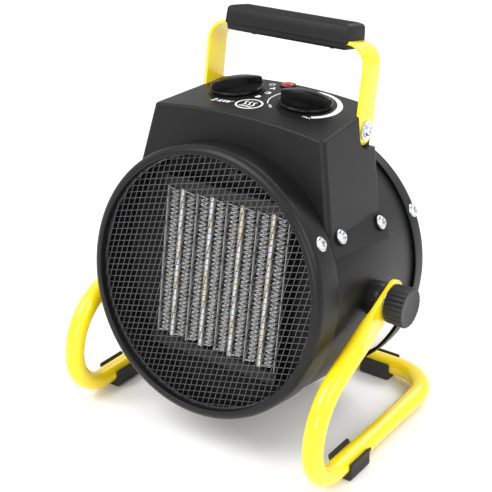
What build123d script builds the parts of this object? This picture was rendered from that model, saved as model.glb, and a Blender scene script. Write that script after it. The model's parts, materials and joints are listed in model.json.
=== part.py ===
"""Round ceramic fan heater on a tilting tube stand, modelled at full size in millimetres.

+Z is up, the heater blows towards -Y, and the origin is on the floor under the middle of the object.
Heater pieces are modelled round the drum: its axis is Y and its origin is the tilt pivot.
They are then turned nose-up by TILT and lifted to the pivot's height.
"""
import os
from math import cos, degrees, hypot, radians, sin, sqrt, tan

from build123d import *

os.makedirs("parts", exist_ok=True)

# Fits and gaps
FIT = 0.08            # radial clearance of a turning shaft
GAP = 0.3             # space between pieces that move past each other
SEAT = 0.05           # space between pieces that are screwed together

# Stand
TUBE_R = 7.5
PIVOT_Y = 2.0
PIVOT_Z = 118.0
TILT = 9.0
SIDE_X = 109.3        # centre plane of each side frame
FRONT_Y = -93.0       # centre line of the front bends
REAR_Y = 90.0         # centre line of the rear crossbar
FOOT_BASE = 3.0       # rubber under the tube
LEG_ANGLE = 25.0      # slope of the upper legs
FRONT_BEND_R = 50.0
FLOOR_BEND_R = 31.0
REAR_BEND_R = 32.0
FLAT_T = 4.0          # thickness of the flattened tube ends
FLAT_W = 21.0
FLAT_FROM = 20.0      # flat begins this far below the pivot
ROUND_FROM = 52.0     # tube is round from here on
FLAT_PAST = 8.0       # centre of the rounded end, past the pivot
FOOT_L = 26.0
FOOT_WALL = 2.4
FRONT_FOOT_Y = -42.0
REAR_FOOT_X = 59.0

# Drum and its end rings
DRUM_R = 98.0
SHEET = 1.0
DRUM_HALF = 71.0
RING_R = 100.0
RING_IN_R = 92.6
RING_WALL = 1.3
RING_FACE = 78.3      # front plane of a ring, from the middle of the drum
RING_SKIRT = 53.0     # edge of the front ring's skirt
REAR_SKIRT = 60.0     # edge of the rear ring's skirt
REAR_FACE = 76.0
RING_ROUND = 6.0
SCREW_ANGLE = 30.0
RING_SCREW_Y = 64.0
REAR_SCREW_Y = 68.0

# Wire grilles
WIRE_D = 1.1
MESH = 4.5
GRILLE_R = 96.5
GRILLE_Y = 72.2       # centre of the outer wires, from the middle of the drum
UPRIGHT_LEAN = 12.5   # front wires cross at a slant: these lean to the right
LEVEL_RISE = 14.5     # and these rise to the right
GRILLE_RIM = 4.5
RIM_T = 0.8

# Control housing
HOUSE_FRONT = -52.6
HOUSE_REAR = 25.0
HOUSE_WALL = 2.5
HOUSE_TOP_X = 72.8    # half width at HOUSE_TOP_Z
HOUSE_TOP_Z = 115.0
HOUSE_FOOT_X = 88.2
HOUSE_FOOT_Z = 41.5
CROWN = 5.5           # rise of the top across its width
TOP_SLOPE = 10.5      # the top rises towards the back
HOUSE_TAPER = 0.045   # each side moves in by this for every millimetre towards the back
HOUSE_ROUND = 4.0
HOUSE_EDGE = 2.0
FLANGE_T = 1.6
FLANGE_Z = 38.5
NOTCH_X = 65.6        # flat sides that carry the handle
NOTCH_Y = 0.0
NOTCH_Z = 102.0
NOTCH_ROUND = 9.0
HOUSE_SCREW_Y = (-38.8, 17.0)

# Knobs and lamp on the housing, placed along its sloping top
SELECTOR_X = -30.2
THERMOSTAT_X = 29.6
KNOB_ALONG = 44.0
KNOB_R = 19.5
KNOB_BASE = 2.6
KNOB_BAR_W = 9.2      # across the middle of the bar
KNOB_BAR_END = 5.0    # across its ends
KNOB_BAR_H = 9.8
KNOB_BAR_SAG = 2.8    # the bar is this much lower at its ends
PAD_H = 0.8
SELECTOR_POINT = 52.0     # direction of the bar, from +X
THERMOSTAT_POINT = 187.0
SPINDLE_R = 3.0
LAMP_X = -3.9
LAMP_ALONG = 71.5
LAMP_R = 4.7

# Handle
STRAP_T = 2.5
STRAP_W = 22.0
STRAP_X = 68.2        # outer face
STRAP_Y = 11.5
STRAP_TOP = 175.5
STRAP_BEND_R = 16.0
BOLT_Z = 115.0
GRIP_HALF = 52.7
GRIP_W = 26.0
GRIP_TOP = 187.5
GRIP_SPLIT = 173.8
GRIP_BOTTOM = 169.0
GRIP_SCREW_X = 34.0

# Clamps at the pivot
SPACER_R = 13.0
STUD_R = 4.0
CLAMP_R = 14.8
CLAMP_L = 15.0
CLAMP_RIBS = 24
WASHER_R = 11.5
WASHER_T = 1.2

# Heating element
ELEMENT_W = 106.8
ELEMENT_H = 115.5
ELEMENT_FRONT = -52.5
ELEMENT_D = 15.0
MODULES = 4
TILE_T = 2.2
TILE_ROWS = 5
PLATE_T = 0.5
FOLD_PITCH = 6.0
RIBBON_T = 0.35
RAIL_H = 8.0
BAFFLE_T = 1.0

# Fan and motor
FAN_R = 84.0
FAN_Y = 2.0
BLADES = 5
BLADE_PITCH = 35.0
HUB_R = 21.0
HUB_L = 22.0
SHAFT_R = 2.5
MOTOR_R = 29.0
MOTOR_FRONT = 20.0
MOTOR_L = 30.0
MOTOR_WALL = 1.5
BRACKET_T = 2.0
BRACKET_ANGLES = (65, 185, 305)

TUBE_Z = FOOT_BASE + TUBE_R
HEATER = Pos(0, PIVOT_Y, PIVOT_Z) * Rot(X=-TILT)
CROWN_R = (HOUSE_TOP_X**2 + CROWN**2) / (2 * CROWN)
HOUSE_SLOPE = (HOUSE_FOOT_X - HOUSE_TOP_X) / (HOUSE_TOP_Z - HOUSE_FOOT_Z)
TOP = Pos(0, HOUSE_FRONT, HOUSE_TOP_Z + CROWN) * Rot(X=TOP_SLOPE)


# ---------------------------------------------------------------- helpers

def span(x0, x1, y0, y1, z0, z1):
    """A box given by its limits."""
    middle = Pos((x0 + x1) / 2, (y0 + y1) / 2, (z0 + z1) / 2)
    return middle * Box(x1 - x0, y1 - y0, z1 - z0)


def rod_x(radius, x0, x1):
    """A cylinder along X."""
    return Pos((x0 + x1) / 2, 0, 0) * Rot(Y=90) * Cylinder(radius, abs(x1 - x0))


def rod_y(radius, y0, y1):
    """A cylinder along Y."""
    return Pos(0, (y0 + y1) / 2, 0) * Rot(X=90) * Cylinder(radius, abs(y1 - y0))


def rod_z(radius, z0, z1):
    """A cylinder along Z."""
    return Pos(0, 0, (z0 + z1) / 2) * Cylinder(radius, abs(z1 - z0))


def radial(angle, along, radius):
    """A place on the drum whose Z points outwards."""
    return Pos(0, along, 0) * Rot(Y=-angle) * Pos(radius, 0, 0) * Rot(Y=90)


def on_top(across, along):
    """A place on the housing's crowned top whose Z is square to it."""
    drop = -across**2 / (2 * CROWN_R)
    lean = degrees(across / CROWN_R)
    return TOP * Pos(across, along, drop) * Rot(Y=lean)


def mirrored(shape):
    """The same shape on the other side of the YZ plane."""
    return shape.mirror(Plane.YZ)


def screw(head_r, head_h, shank_r, length):
    """A pan-head screw with a cross slot. Its head stands on Z = 0."""
    head = rod_z(head_r, 0, head_h)
    head = fillet(head.edges().group_by(Axis.Z)[-1], head_h * 0.7)
    slot = span(-head_r * 0.45, head_r * 0.45, -0.55, 0.55, head_h * 0.45, head_h + 1)
    head = head - slot - Rot(Z=90) * slot
    return head + rod_z(shank_r, -length, 0)


def group(shapes):
    """Separate solids kept together in one node."""
    return Compound(children=[part for shape in shapes for part in shape.solids()])


# ---------------------------------------------------------------- stand

def leg_point(distance):
    """A point on the right upper leg, this far down from the pivot."""
    run = distance * cos(radians(LEG_ANGLE))
    fall = distance * sin(radians(LEG_ANGLE))
    return Vector(SIDE_X, PIVOT_Y - run, PIVOT_Z - fall)


def flat_end():
    """The right tube end: pressed flat round the stud, then opening out to the round tube."""
    along_leg = leg_point(0) - leg_point(1)
    start = Plane(leg_point(ROUND_FROM), x_dir=(1, 0, 0), z_dir=along_leg)
    finish = Plane(leg_point(FLAT_FROM), x_dir=(1, 0, 0), z_dir=along_leg)
    opening = loft([start * Circle(TUBE_R), finish * Ellipse(FLAT_T / 2, FLAT_W / 2)])
    frame = Pos(SIDE_X, PIVOT_Y, PIVOT_Z) * Rot(X=LEG_ANGLE)
    half = FLAT_T / 2
    plate = span(-half, half, -FLAT_FROM - 6, FLAT_PAST, -FLAT_W / 2, FLAT_W / 2)
    plate += Pos(0, FLAT_PAST, 0) * rod_x(FLAT_W / 2, -half, half)
    bore = frame * rod_x(STUD_R + FIT, -TUBE_R, TUBE_R)
    return opening + frame * plate - bore


def stand_tube():
    """One bent tube: leg, front bend, floor run, rear crossbar and back again."""
    corner_y = PIVOT_Y - FRONT_Y
    corner_z = PIVOT_Z - corner_y * tan(radians(LEG_ANGLE))
    start = leg_point(ROUND_FROM)
    right = [
        start,
        Vector(SIDE_X, FRONT_Y, corner_z),
        Vector(SIDE_X, FRONT_Y, TUBE_Z),
        Vector(SIDE_X, REAR_Y, TUBE_Z),
    ]
    left = [Vector(-point.X, point.Y, point.Z) for point in reversed(right)]
    radii = [FRONT_BEND_R, FLOOR_BEND_R, REAR_BEND_R]
    path = FilletPolyline(*right, *left, radius=radii + radii[::-1])
    section = Plane(start, z_dir=leg_point(1) - leg_point(0)) * Circle(TUBE_R)
    bent = sweep(section, path=path)
    end = flat_end()
    return bent + end + mirrored(end)


def foot_clip():
    """A rubber saddle for a tube along Y, with its base on the floor and its middle at the origin."""
    outer = TUBE_R + FOOT_WALL
    arm_top = TUBE_Z + 4.2
    body = Rectangle(2 * outer, arm_top, align=(Align.CENTER, Align.MIN))
    body = fillet(body.vertices().group_by(Axis.Y)[0], 2.5)
    body -= Pos(0, TUBE_Z) * Circle(TUBE_R + SEAT)
    throat = TUBE_R * 0.84
    body -= Pos(0, TUBE_Z) * Rectangle(2 * throat, 20, align=(Align.CENTER, Align.MIN))
    lip = Pos(outer - 1.2, arm_top - 0.2) * Rot(Z=35) * Rectangle(3.6, 1.7)
    body += lip
    body += mirrored(lip)
    return extrude(Plane.XZ * body, amount=FOOT_L / 2, both=True)


# ---------------------------------------------------------------- drum

def screw_places(along, radius):
    """The three places round the drum where a ring is screwed on."""
    angles = (SCREW_ANGLE, 180 - SCREW_ANGLE, 270)
    return [radial(angle, along, radius) for angle in angles]


def end_ring(face, skirt, screw_y):
    """A pressed ring, modelled for the front: rounded face, skirt and a short inner lip."""
    depth = face - skirt
    corner = (Align.MAX, Align.MIN)
    outline = Pos(RING_R, -face) * Rectangle(RING_R - RING_IN_R, depth, align=corner)
    front = outline.vertices().group_by(Axis.Y)[0].sort_by(Axis.X)
    outline = fillet(front[-1], RING_ROUND)
    front = outline.vertices().group_by(Axis.Y)[0].sort_by(Axis.X)
    outline = fillet(front[0], 1.2)
    hollow_w = RING_R - RING_IN_R - 2 * RING_WALL
    hollow = Pos(RING_R - RING_WALL, RING_WALL - face) * Rectangle(hollow_w, depth, align=corner)
    front = hollow.vertices().group_by(Axis.Y)[0].sort_by(Axis.X)
    hollow = fillet(front[-1], RING_ROUND - RING_WALL - 1)
    behind_lip = Pos(RING_IN_R + RING_WALL, -face + 5.5) * Rectangle(3, depth, align=corner)
    ring = revolve(outline - hollow - behind_lip, axis=Axis.Y)
    for place in screw_places(-screw_y, RING_R):
        ring -= place * rod_z(2.05, -6, 3)
    return ring


def drum_shell():
    """The rolled sheet drum with screw holes, pivot holes and a wiring window under the housing."""
    shell = rod_y(DRUM_R, -DRUM_HALF, DRUM_HALF) - rod_y(DRUM_R - SHEET, -DRUM_HALF, DRUM_HALF)
    shell -= span(-38, 38, -34, 16, 0, DRUM_R + 5)
    places = screw_places(-RING_SCREW_Y, DRUM_R) + screw_places(REAR_SCREW_Y, DRUM_R)
    for along in HOUSE_SCREW_Y:
        places += [radial(SCREW_ANGLE, along, DRUM_R), radial(180 - SCREW_ANGLE, along, DRUM_R)]
    for place in places:
        shell -= place * rod_z(2.05, -4, 4)
    shell -= rod_x(5.0, -DRUM_R - 2, DRUM_R + 2)
    for place in bracket_places():
        shell -= place * rod_z(2.05, -4, 4)
    return shell


def ring_screws(along):
    """Three screws that hold a ring to the drum."""
    one = screw(5.2, 2.4, 2.0, 3.2)
    return group([place * one for place in screw_places(along, RING_R)])


def grille(lean, rise):
    """Two layers of welded wires on a flat rim, in the XZ plane with the outer wires at Y = 0."""
    wires = []
    count = int(GRILLE_R / MESH)
    for index in range(-count, count + 1):
        offset = index * MESH
        half = sqrt(GRILLE_R**2 - offset**2) - 0.5
        if half < 3 * WIRE_D:
            continue
        upright = Pos(offset, 0, 0) * rod_z(WIRE_D / 2, -half, half)
        level = Pos(0, WIRE_D + 0.01, offset) * rod_x(WIRE_D / 2, -half, half)
        wires += [Rot(Y=lean) * upright, Rot(Y=-rise) * level]
    rim_y = WIRE_D * 1.5 + 0.02
    rim = rod_y(GRILLE_R, rim_y, rim_y + RIM_T)
    rim -= rod_y(GRILLE_R - GRILLE_RIM, rim_y - 1, rim_y + RIM_T + 1)
    return group(wires + [rim])


# ---------------------------------------------------------------- control housing

def housing_section(inset, along):
    """A cut across the housing, moved inwards by inset and open-ended upwards."""
    top_z = HOUSE_TOP_Z + 30
    inwards = inset + HOUSE_TAPER * (along - HOUSE_FRONT)
    top_x = HOUSE_TOP_X - 30 * HOUSE_SLOPE - inwards
    foot_x = HOUSE_FOOT_X - inwards
    corners = [(-foot_x, HOUSE_FOOT_Z), (foot_x, HOUSE_FOOT_Z), (top_x, top_z), (-top_x, top_z)]
    face = Plane.XZ * make_face(Polyline(*corners, close=True))
    return Pos(0, along, 0) * face


def housing_block(inset, front, rear):
    """The housing's outline, moved inwards by inset."""
    block = loft([housing_section(inset, front), housing_section(inset, rear)])
    barrel = TOP * Pos(0, 0, -CROWN_R) * rod_y(CROWN_R - inset, -60, 160)
    return block & barrel


def notch(grow):
    """Space beside the housing's rear half where the right handle leg is bolted on."""
    cut = span(NOTCH_X - grow, 110, NOTCH_Y - grow, 60, NOTCH_Z - grow, 170)
    edges = cut.edges().filter_by(Axis.X).group_by(Axis.Z)[0].sort_by(Axis.Y)
    return fillet(edges[0], NOTCH_ROUND)


def housing_screw_places(radius):
    """The four places where the housing's feet are screwed to the drum."""
    places = []
    for along in HOUSE_SCREW_Y:
        places += [radial(SCREW_ANGLE, along, radius), radial(180 - SCREW_ANGLE, along, radius)]
    return places


def control_housing():
    """The moulded box on the drum that carries the knobs, the lamp and the handle."""
    outer = housing_block(0, HOUSE_FRONT, HOUSE_REAR)
    corners = outer.edges().filter_by(lambda edge: abs(edge.center().X) > 60 and edge.length > 60)
    upright = corners.filter_by(lambda edge: abs(edge.center().Z - 80) < 12)
    outer = fillet(upright, HOUSE_ROUND)
    outer = fillet(outer.faces().sort_by(Axis.Z)[-1].edges(), HOUSE_EDGE)
    outer -= notch(0)
    outer -= mirrored(notch(0))
    inner = housing_block(HOUSE_WALL, HOUSE_FRONT + HOUSE_WALL, HOUSE_REAR - HOUSE_WALL)
    inner -= notch(HOUSE_WALL)
    inner -= mirrored(notch(HOUSE_WALL))
    flange = rod_y(DRUM_R + FLANGE_T, HOUSE_FRONT + 0.5, HOUSE_REAR - 0.5)
    flange &= span(-120, 120, -80, 80, FLANGE_Z, 56)
    body = outer - inner + flange
    for place in housing_screw_places(DRUM_R):
        body += place * rod_z(6.2, -1, 3.0)
    for across in (SELECTOR_X, THERMOSTAT_X):
        body += on_top(across, KNOB_ALONG) * rod_z(KNOB_R + 1.5, -1.2, PAD_H)
        body -= on_top(across, KNOB_ALONG) * rod_z(5.0, -10, 5)
    body += on_top(LAMP_X, LAMP_ALONG) * rod_z(LAMP_R + 1.3, -1.2, 0.9)
    body -= on_top(LAMP_X, LAMP_ALONG) * rod_z(LAMP_R + SEAT - 1.0, -10, 5)
    body -= rod_y(DRUM_R + SEAT, -100, 100)
    for place in housing_screw_places(DRUM_R):
        body -= place * rod_z(2.05, -6, 6)
    body -= Pos(0, STRAP_Y, BOLT_Z) * rod_x(3.05, -90, 90)
    body -= bushing_place() * rod_y(6.0 + SEAT, -10, 10)
    return body


def bushing_place():
    """Where the supply cord enters the back of the housing."""
    return Pos(38, HOUSE_REAR, 112)


def cable_bushing():
    """A rubber bushing with a flange outside and inside the housing's rear wall."""
    body = rod_y(6.0, -HOUSE_WALL - 1.5, 5)
    body += rod_y(8.5, 0.02, 2.4)
    body += rod_y(7.6, -HOUSE_WALL - 1.7, -HOUSE_WALL - 0.02)
    body -= rod_y(3.8, -20, 20)
    return bushing_place() * body


# ---------------------------------------------------------------- controls

def knob(point):
    """A round knob with a bowed bar across it, on the plane Z = 0, with a socket for its spindle."""
    base = rod_z(KNOB_R, 0, KNOB_BASE)
    base = chamfer(base.edges().group_by(Axis.Z)[-1], 1.0)
    end = KNOB_BAR_END / 2
    middle = KNOB_BAR_W / 2
    near = ThreePointArc((-KNOB_R, -end), (0, -middle), (KNOB_R, -end))
    far = ThreePointArc((KNOB_R, end), (0, middle), (-KNOB_R, end))
    sides = [near, Line(near @ 1, far @ 0), far, Line(far @ 1, near @ 0)]
    bar = extrude(make_face(sides), amount=KNOB_BAR_H)
    bow = (KNOB_R**2 + KNOB_BAR_SAG**2) / (2 * KNOB_BAR_SAG)
    bar &= Pos(0, 0, KNOB_BAR_H - bow) * rod_y(bow, -20, 20)
    bar &= rod_z(KNOB_R - 0.2, 0, KNOB_BAR_H)
    socket = rod_z(SPINDLE_R + 0.02, -1, 7.2)
    return Rot(Z=point) * (base + bar) - socket


def spindle():
    """The shaft that a knob turns, from its socket down into the control's body."""
    return rod_z(SPINDLE_R, -14.0, 6.8 + PAD_H + 0.4)


def control_body(size, depth):
    """A control under the housing's top, with a bore that its spindle turns in."""
    body = span(-size / 2, size / 2, -size / 2, size / 2, -4.0 - depth, -4.0)
    body += rod_z(6.5, -4.0, -3.2)
    return body - rod_z(SPINDLE_R + FIT, -14.4, 0)


def lamp_lens():
    """The red lens of the power lamp, snapped into the housing's top."""
    dome = rod_z(LAMP_R, 0.95, 3.2)
    dome = fillet(dome.edges().group_by(Axis.Z)[-1], 1.8)
    return on_top(LAMP_X, LAMP_ALONG) * (dome + rod_z(LAMP_R - 1.0, -5, 0.95))


def terminal_block():
    """The screw terminals that the supply cord is wired to."""
    body = span(-16, 16, -46, -34, 101, 110)
    for index in range(3):
        well = Pos(10 * (index - 1), -40, 110) * rod_z(2.6, -5, 1)
        body -= well
    return body


# ---------------------------------------------------------------- handle

def handle_strap():
    """The flat bar bent into a U, with rounded ends round its bolts."""
    height = STRAP_TOP - BOLT_Z + 30
    outer = Pos(0, STRAP_TOP) * Rectangle(2 * STRAP_X, height, align=(Align.CENTER, Align.MAX))
    outer = fillet(outer.vertices().group_by(Axis.Y)[-1], STRAP_BEND_R)
    inner_size = 2 * (STRAP_X - STRAP_T)
    inner = Rectangle(inner_size, height, align=(Align.CENTER, Align.MAX))
    inner = Pos(0, STRAP_TOP - STRAP_T) * inner
    inner = fillet(inner.vertices().group_by(Axis.Y)[-1], STRAP_BEND_R - STRAP_T)
    bent = extrude(Plane.XZ * (outer - inner), amount=100, both=True)
    side = span(-90, 90, STRAP_Y - STRAP_W / 2, STRAP_Y + STRAP_W / 2, BOLT_Z, STRAP_TOP + 1)
    side += Pos(0, STRAP_Y, BOLT_Z) * rod_x(STRAP_W / 2, -90, 90)
    strap = bent & side
    strap -= Pos(0, STRAP_Y, BOLT_Z) * rod_x(3.2, -90, 90)
    for across in (-GRIP_SCREW_X, GRIP_SCREW_X):
        strap -= Pos(across, STRAP_Y, STRAP_TOP) * rod_z(1.6, -5, 5)
    return strap


def grip_half(bottom, top, width, length, rounding):
    """Half of the moulded grip, cut to lie round the strap."""
    low = STRAP_Y - width / 2
    high = STRAP_Y + width / 2
    body = span(-length, length, low, high, bottom, top)
    body = chamfer(body.edges().filter_by(Axis.X), rounding)
    groove_low = STRAP_Y - STRAP_W / 2 - SEAT
    groove_high = STRAP_Y + STRAP_W / 2 + SEAT
    groove_bottom = STRAP_TOP - STRAP_T - SEAT
    body -= span(-80, 80, groove_low, groove_high, groove_bottom, STRAP_TOP + SEAT)
    for across in (-GRIP_SCREW_X, GRIP_SCREW_X):
        hole = rod_z(1.55, -10, STRAP_TOP + 8 - GRIP_BOTTOM)
        body -= Pos(across, STRAP_Y, GRIP_BOTTOM) * hole
    return body


def grip_screws():
    """Two screws up through the grip's lower half into the upper one."""
    one = Rot(X=180) * screw(3.0, 1.8, 1.5, 13.0)
    places = [Pos(across, STRAP_Y, GRIP_BOTTOM) for across in (-GRIP_SCREW_X, GRIP_SCREW_X)]
    return group([place * one for place in places])


def handle_washer():
    """The washer under the right handle bolt."""
    face = STRAP_X + 0.02
    return Pos(0, STRAP_Y, BOLT_Z) * (rod_x(7.1, face, face + 1.4) - rod_x(3.1, face - 1, face + 3))


def handle_bolt():
    """The right handle bolt."""
    one = screw(4.9, 3.2, 3.0, 12.0)
    return Pos(STRAP_X + 1.44, STRAP_Y, BOLT_Z) * Rot(Y=90) * one


# ---------------------------------------------------------------- pivot clamps, right side

def pivot_spacer():
    """The black boss between the drum and the stand's flat end."""
    outer_face = SIDE_X - FLAT_T / 2 - GAP
    body = rod_x(SPACER_R, 85, outer_face) - rod_y(DRUM_R + SEAT, -40, 40)
    return body - rod_x(STUD_R + FIT, 80, 120)


def nut_plate():
    """The threaded plate inside the drum that the clamp stud screws into."""
    body = span(92.0, 95.4, -17, 17, -13, 13) + rod_x(8.0, 86.0, 92.0)
    return body - rod_x(STUD_R + FIT, 80, 120)


CLAMP_X = SIDE_X + FLAT_T / 2 + GAP


def clamp_washer():
    """The thin washer between the stand's flat end and the clamp knob."""
    return rod_x(WASHER_R, CLAMP_X, CLAMP_X + WASHER_T) - rod_x(STUD_R + 0.02, 80, 130)


def clamp_knob():
    """The ribbed hand knob."""
    start = CLAMP_X + WASHER_T + 0.02
    body = rod_x(CLAMP_R, start, start + CLAMP_L)
    body = fillet(body.edges().group_by(Axis.X)[-1], 1.2)
    for index in range(CLAMP_RIBS):
        flute = Rot(X=360 * index / CLAMP_RIBS) * Pos(0, 0, CLAMP_R + 0.25) * rod_x(1.25, 90, 140)
        body -= flute
    return body - rod_x(STUD_R + 0.02, 80, start + CLAMP_L - 4)


def clamp_stud():
    """The knob's threaded stud, without its thread."""
    return rod_x(STUD_R, 84.0, CLAMP_X + WASHER_T + CLAMP_L - 4.5)


# ---------------------------------------------------------------- heating element

ELEMENT_BACK = ELEMENT_FRONT + ELEMENT_D
MODULE_W = ELEMENT_W / MODULES
CORE_T = TILE_T + 2 * PLATE_T
RIBBON_W = (MODULE_W - CORE_T - PLATE_T) / 2 - 0.1
MODULE_X = [(index - (MODULES - 1) / 2) * MODULE_W for index in range(MODULES)]


def ceramic_tiles():
    """Columns of ceramic tiles, one down the middle of each module."""
    pitch = ELEMENT_H / TILE_ROWS
    tiles = []
    for middle in MODULE_X:
        for row in range(TILE_ROWS):
            low = -ELEMENT_H / 2 + row * pitch + 0.2
            half = TILE_T / 2
            tiles.append(span(middle - half, middle + half, ELEMENT_FRONT + 0.5,
                              ELEMENT_BACK - 0.5, low, low + pitch - 0.4))
    return group(tiles)


def contact_plates():
    """Aluminium strips on both faces of each tile column and between the modules."""
    strips = []
    for middle in MODULE_X:
        for side in (-1, 1):
            inner = middle + side * (TILE_T / 2 + 0.02)
            outer = middle + side * (TILE_T / 2 + PLATE_T)
            strips.append(span(min(inner, outer), max(inner, outer), ELEMENT_FRONT,
                               ELEMENT_BACK, -ELEMENT_H / 2, ELEMENT_H / 2 + 4))
    for index in range(MODULES + 1):
        edge = -ELEMENT_W / 2 + index * MODULE_W
        half = PLATE_T / 2
        strips.append(span(edge - half, edge + half, ELEMENT_FRONT, ELEMENT_BACK,
                           -ELEMENT_H / 2, ELEMENT_H / 2))
    return group(strips)


def shifted(points, distance):
    """A square-cornered path moved sideways by a distance."""
    moved = []
    for index, (across, up) in enumerate(points):
        for first in (index - 1, index):
            if 0 <= first < len(points) - 1:
                step_x = points[first + 1][0] - points[first][0]
                step_z = points[first + 1][1] - points[first][1]
                across -= distance * step_z / hypot(step_x, step_z)
                up += distance * step_x / hypot(step_x, step_z)
        moved.append((across, up))
    return moved


def folded_ribbon():
    """One folded aluminium ribbon, in the XZ plane, between two plates."""
    half = (RIBBON_W - RIBBON_T) / 2
    rise = FOLD_PITCH / 2
    folds = int(ELEMENT_H / rise)
    points = []
    for index in range(folds):
        level = (index - (folds - 1) / 2) * rise
        ends = [(-half, level), (half, level)]
        points += ends[::-1] if index % 2 else ends
    outline = shifted(points, RIBBON_T / 2) + shifted(points, -RIBBON_T / 2)[::-1]
    face = Plane.XZ * make_face(Polyline(*outline, close=True))
    return Pos(0, ELEMENT_BACK - 0.4, 0) * extrude(face, amount=ELEMENT_D - 0.8)


def fin_ribbons():
    """The eight folded ribbons that carry the heat into the air."""
    one = folded_ribbon()
    shift = CORE_T / 2 + 0.05 + RIBBON_W / 2
    places = [Pos(middle + side * shift, 0, 0) for middle in MODULE_X for side in (-1, 1)]
    return group([place * one for place in places])


def element_rail():
    """The insulating rail over the element's top, with slots for the contact strips."""
    low = ELEMENT_H / 2 + 0.1
    half = ELEMENT_W / 2 + 3
    rail = span(-half, half, ELEMENT_FRONT - 1.5, ELEMENT_BACK + 1, low, low + RAIL_H)
    for middle in MODULE_X:
        rail -= span(middle - 1.8, middle + 1.8, ELEMENT_FRONT - 0.2, ELEMENT_BACK + 0.2,
                     low - 1, low + 5)
    return rail


def element_baffle():
    """The plate that makes all the air go through the element, folded forward along its sides."""
    back = ELEMENT_BACK + 1.1
    plate = rod_y(DRUM_R - SHEET - 0.2, back, back + BAFFLE_T)
    half_w = ELEMENT_W / 2 - 1
    half_h = ELEMENT_H / 2 - 1
    plate -= span(-half_w, half_w, back - 1, back + 3, -half_h, half_h)
    side = ELEMENT_W / 2 + PLATE_T / 2 + 0.35
    wall = span(side, side + BAFFLE_T, ELEMENT_FRONT + 0.5, back + BAFFLE_T, -half_h, half_h)
    return plate + wall + mirrored(wall)


def thermal_cutout():
    """The disc-type thermal cut-out on the baffle, above the element."""
    front = ELEMENT_BACK + 1.05
    disc = rod_y(7.5, front - 8, front - 1.2)
    plate = span(-14, 14, front - 1.2, front, -5, 5)
    tabs = span(-6, -3, front - 15, front - 8, -0.4, 0.4) + span(3, 6, front - 15, front - 8, -0.4, 0.4)
    return Pos(0, 0, 79) * (disc + plate + tabs)


# ---------------------------------------------------------------- fan and motor

def fan_impeller():
    """Five pitched blades on a hub."""
    hub = rod_y(HUB_R, FAN_Y - HUB_L / 2, FAN_Y + HUB_L / 2)
    hub = fillet(hub.edges().group_by(Axis.Y)[0], 4)
    hub -= rod_y(HUB_R - 2.5, FAN_Y - HUB_L / 2 + 3, 60)
    hub += rod_y(6, FAN_Y - HUB_L / 2 + 1, FAN_Y + HUB_L / 2 - 1)
    blade = span(HUB_R - 1.5, FAN_R + 5, -1.1, 1.1, -20, 20)
    blade = Rot(X=90 - BLADE_PITCH) * blade
    limit = rod_y(FAN_R, FAN_Y - HUB_L / 2, FAN_Y + HUB_L / 2)
    blade = (Pos(0, FAN_Y, 0) * blade) & limit
    for index in range(BLADES):
        hub += Rot(Y=360 * index / BLADES) * blade
    return hub - rod_y(SHAFT_R + 0.02, -60, 60)


MOTOR_BACK = MOTOR_FRONT + MOTOR_L


def motor_can():
    """The motor's closed can with its two shaft bearings."""
    can = rod_y(MOTOR_R, MOTOR_FRONT, MOTOR_BACK)
    can -= rod_y(MOTOR_R - MOTOR_WALL, MOTOR_FRONT + 2.5, MOTOR_BACK - 2.5)
    can += rod_y(7, MOTOR_FRONT - 2, MOTOR_FRONT)
    return can - rod_y(SHAFT_R + FIT, MOTOR_FRONT - 5, MOTOR_BACK + 5)


def motor_stator():
    """The wound ring inside the can."""
    ring = rod_y(MOTOR_R - MOTOR_WALL - 0.02, MOTOR_FRONT + 5, MOTOR_BACK - 5)
    return ring - rod_y(18.6, 0, 80)


def motor_rotor():
    """The rotor that turns inside the stator."""
    return rod_y(18.0, MOTOR_FRONT + 6, MOTOR_BACK - 6) - rod_y(SHAFT_R + 0.02, 0, 80)


def motor_shaft():
    """The shaft that carries the rotor and the impeller."""
    return rod_y(SHAFT_R, FAN_Y - HUB_L / 2 - 1, MOTOR_BACK + 1.5)


def bracket_places():
    """Where the motor bracket's arms are screwed to the drum."""
    along = MOTOR_BACK + 4.5
    return [radial(angle, along, DRUM_R) for angle in BRACKET_ANGLES]


def motor_bracket():
    """A pressed plate behind the motor with three arms out to the drum."""
    front = MOTOR_BACK + 0.05
    plate = rod_y(MOTOR_R + 4, front, front + BRACKET_T)
    reach = DRUM_R - SHEET - 0.4
    arm = span(0, reach - 0.8, front, front + BRACKET_T, -7, 7)
    tab = span(reach - 1.8, reach - 0.3, front, front + 9, -7, 7)
    limit = rod_y(reach, front - 1, front + 20)
    for angle in BRACKET_ANGLES:
        plate += Rot(Y=-angle) * ((arm + tab) & limit)
    plate -= rod_y(8, 0, 80)
    for place in bracket_places():
        plate -= place * rod_z(2.05, -8, 4)
    return plate


def bracket_screws():
    """Three screws through the drum into the motor bracket's tabs."""
    one = screw(4.2, 2.0, 2.0, 5.0)
    return group([place * Pos(0, 0, 0.02) * one for place in bracket_places()])


def rating_plate():
    """A blank foil label bent round the drum, low on its right side behind the pivot."""
    skin = rod_y(DRUM_R + 0.25, 22, 56) - rod_y(DRUM_R + 0.02, 20, 60)
    wedge = Pos(DRUM_R, 39, 0) * Box(60, 34, 40)
    return skin & (Rot(Y=26) * wedge)


# ---------------------------------------------------------------- all nodes

def clamp_nodes(side, place):
    """The pivot pieces of one side."""
    return {
        "pivot_spacer_" + side: place(HEATER * pivot_spacer()),
        "nut_plate_" + side: place(HEATER * nut_plate()),
        "clamp_washer_" + side: place(HEATER * clamp_washer()),
        "clamp_knob_" + side: place(HEATER * clamp_knob()),
        "clamp_stud_" + side: place(HEATER * clamp_stud()),
    }


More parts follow.
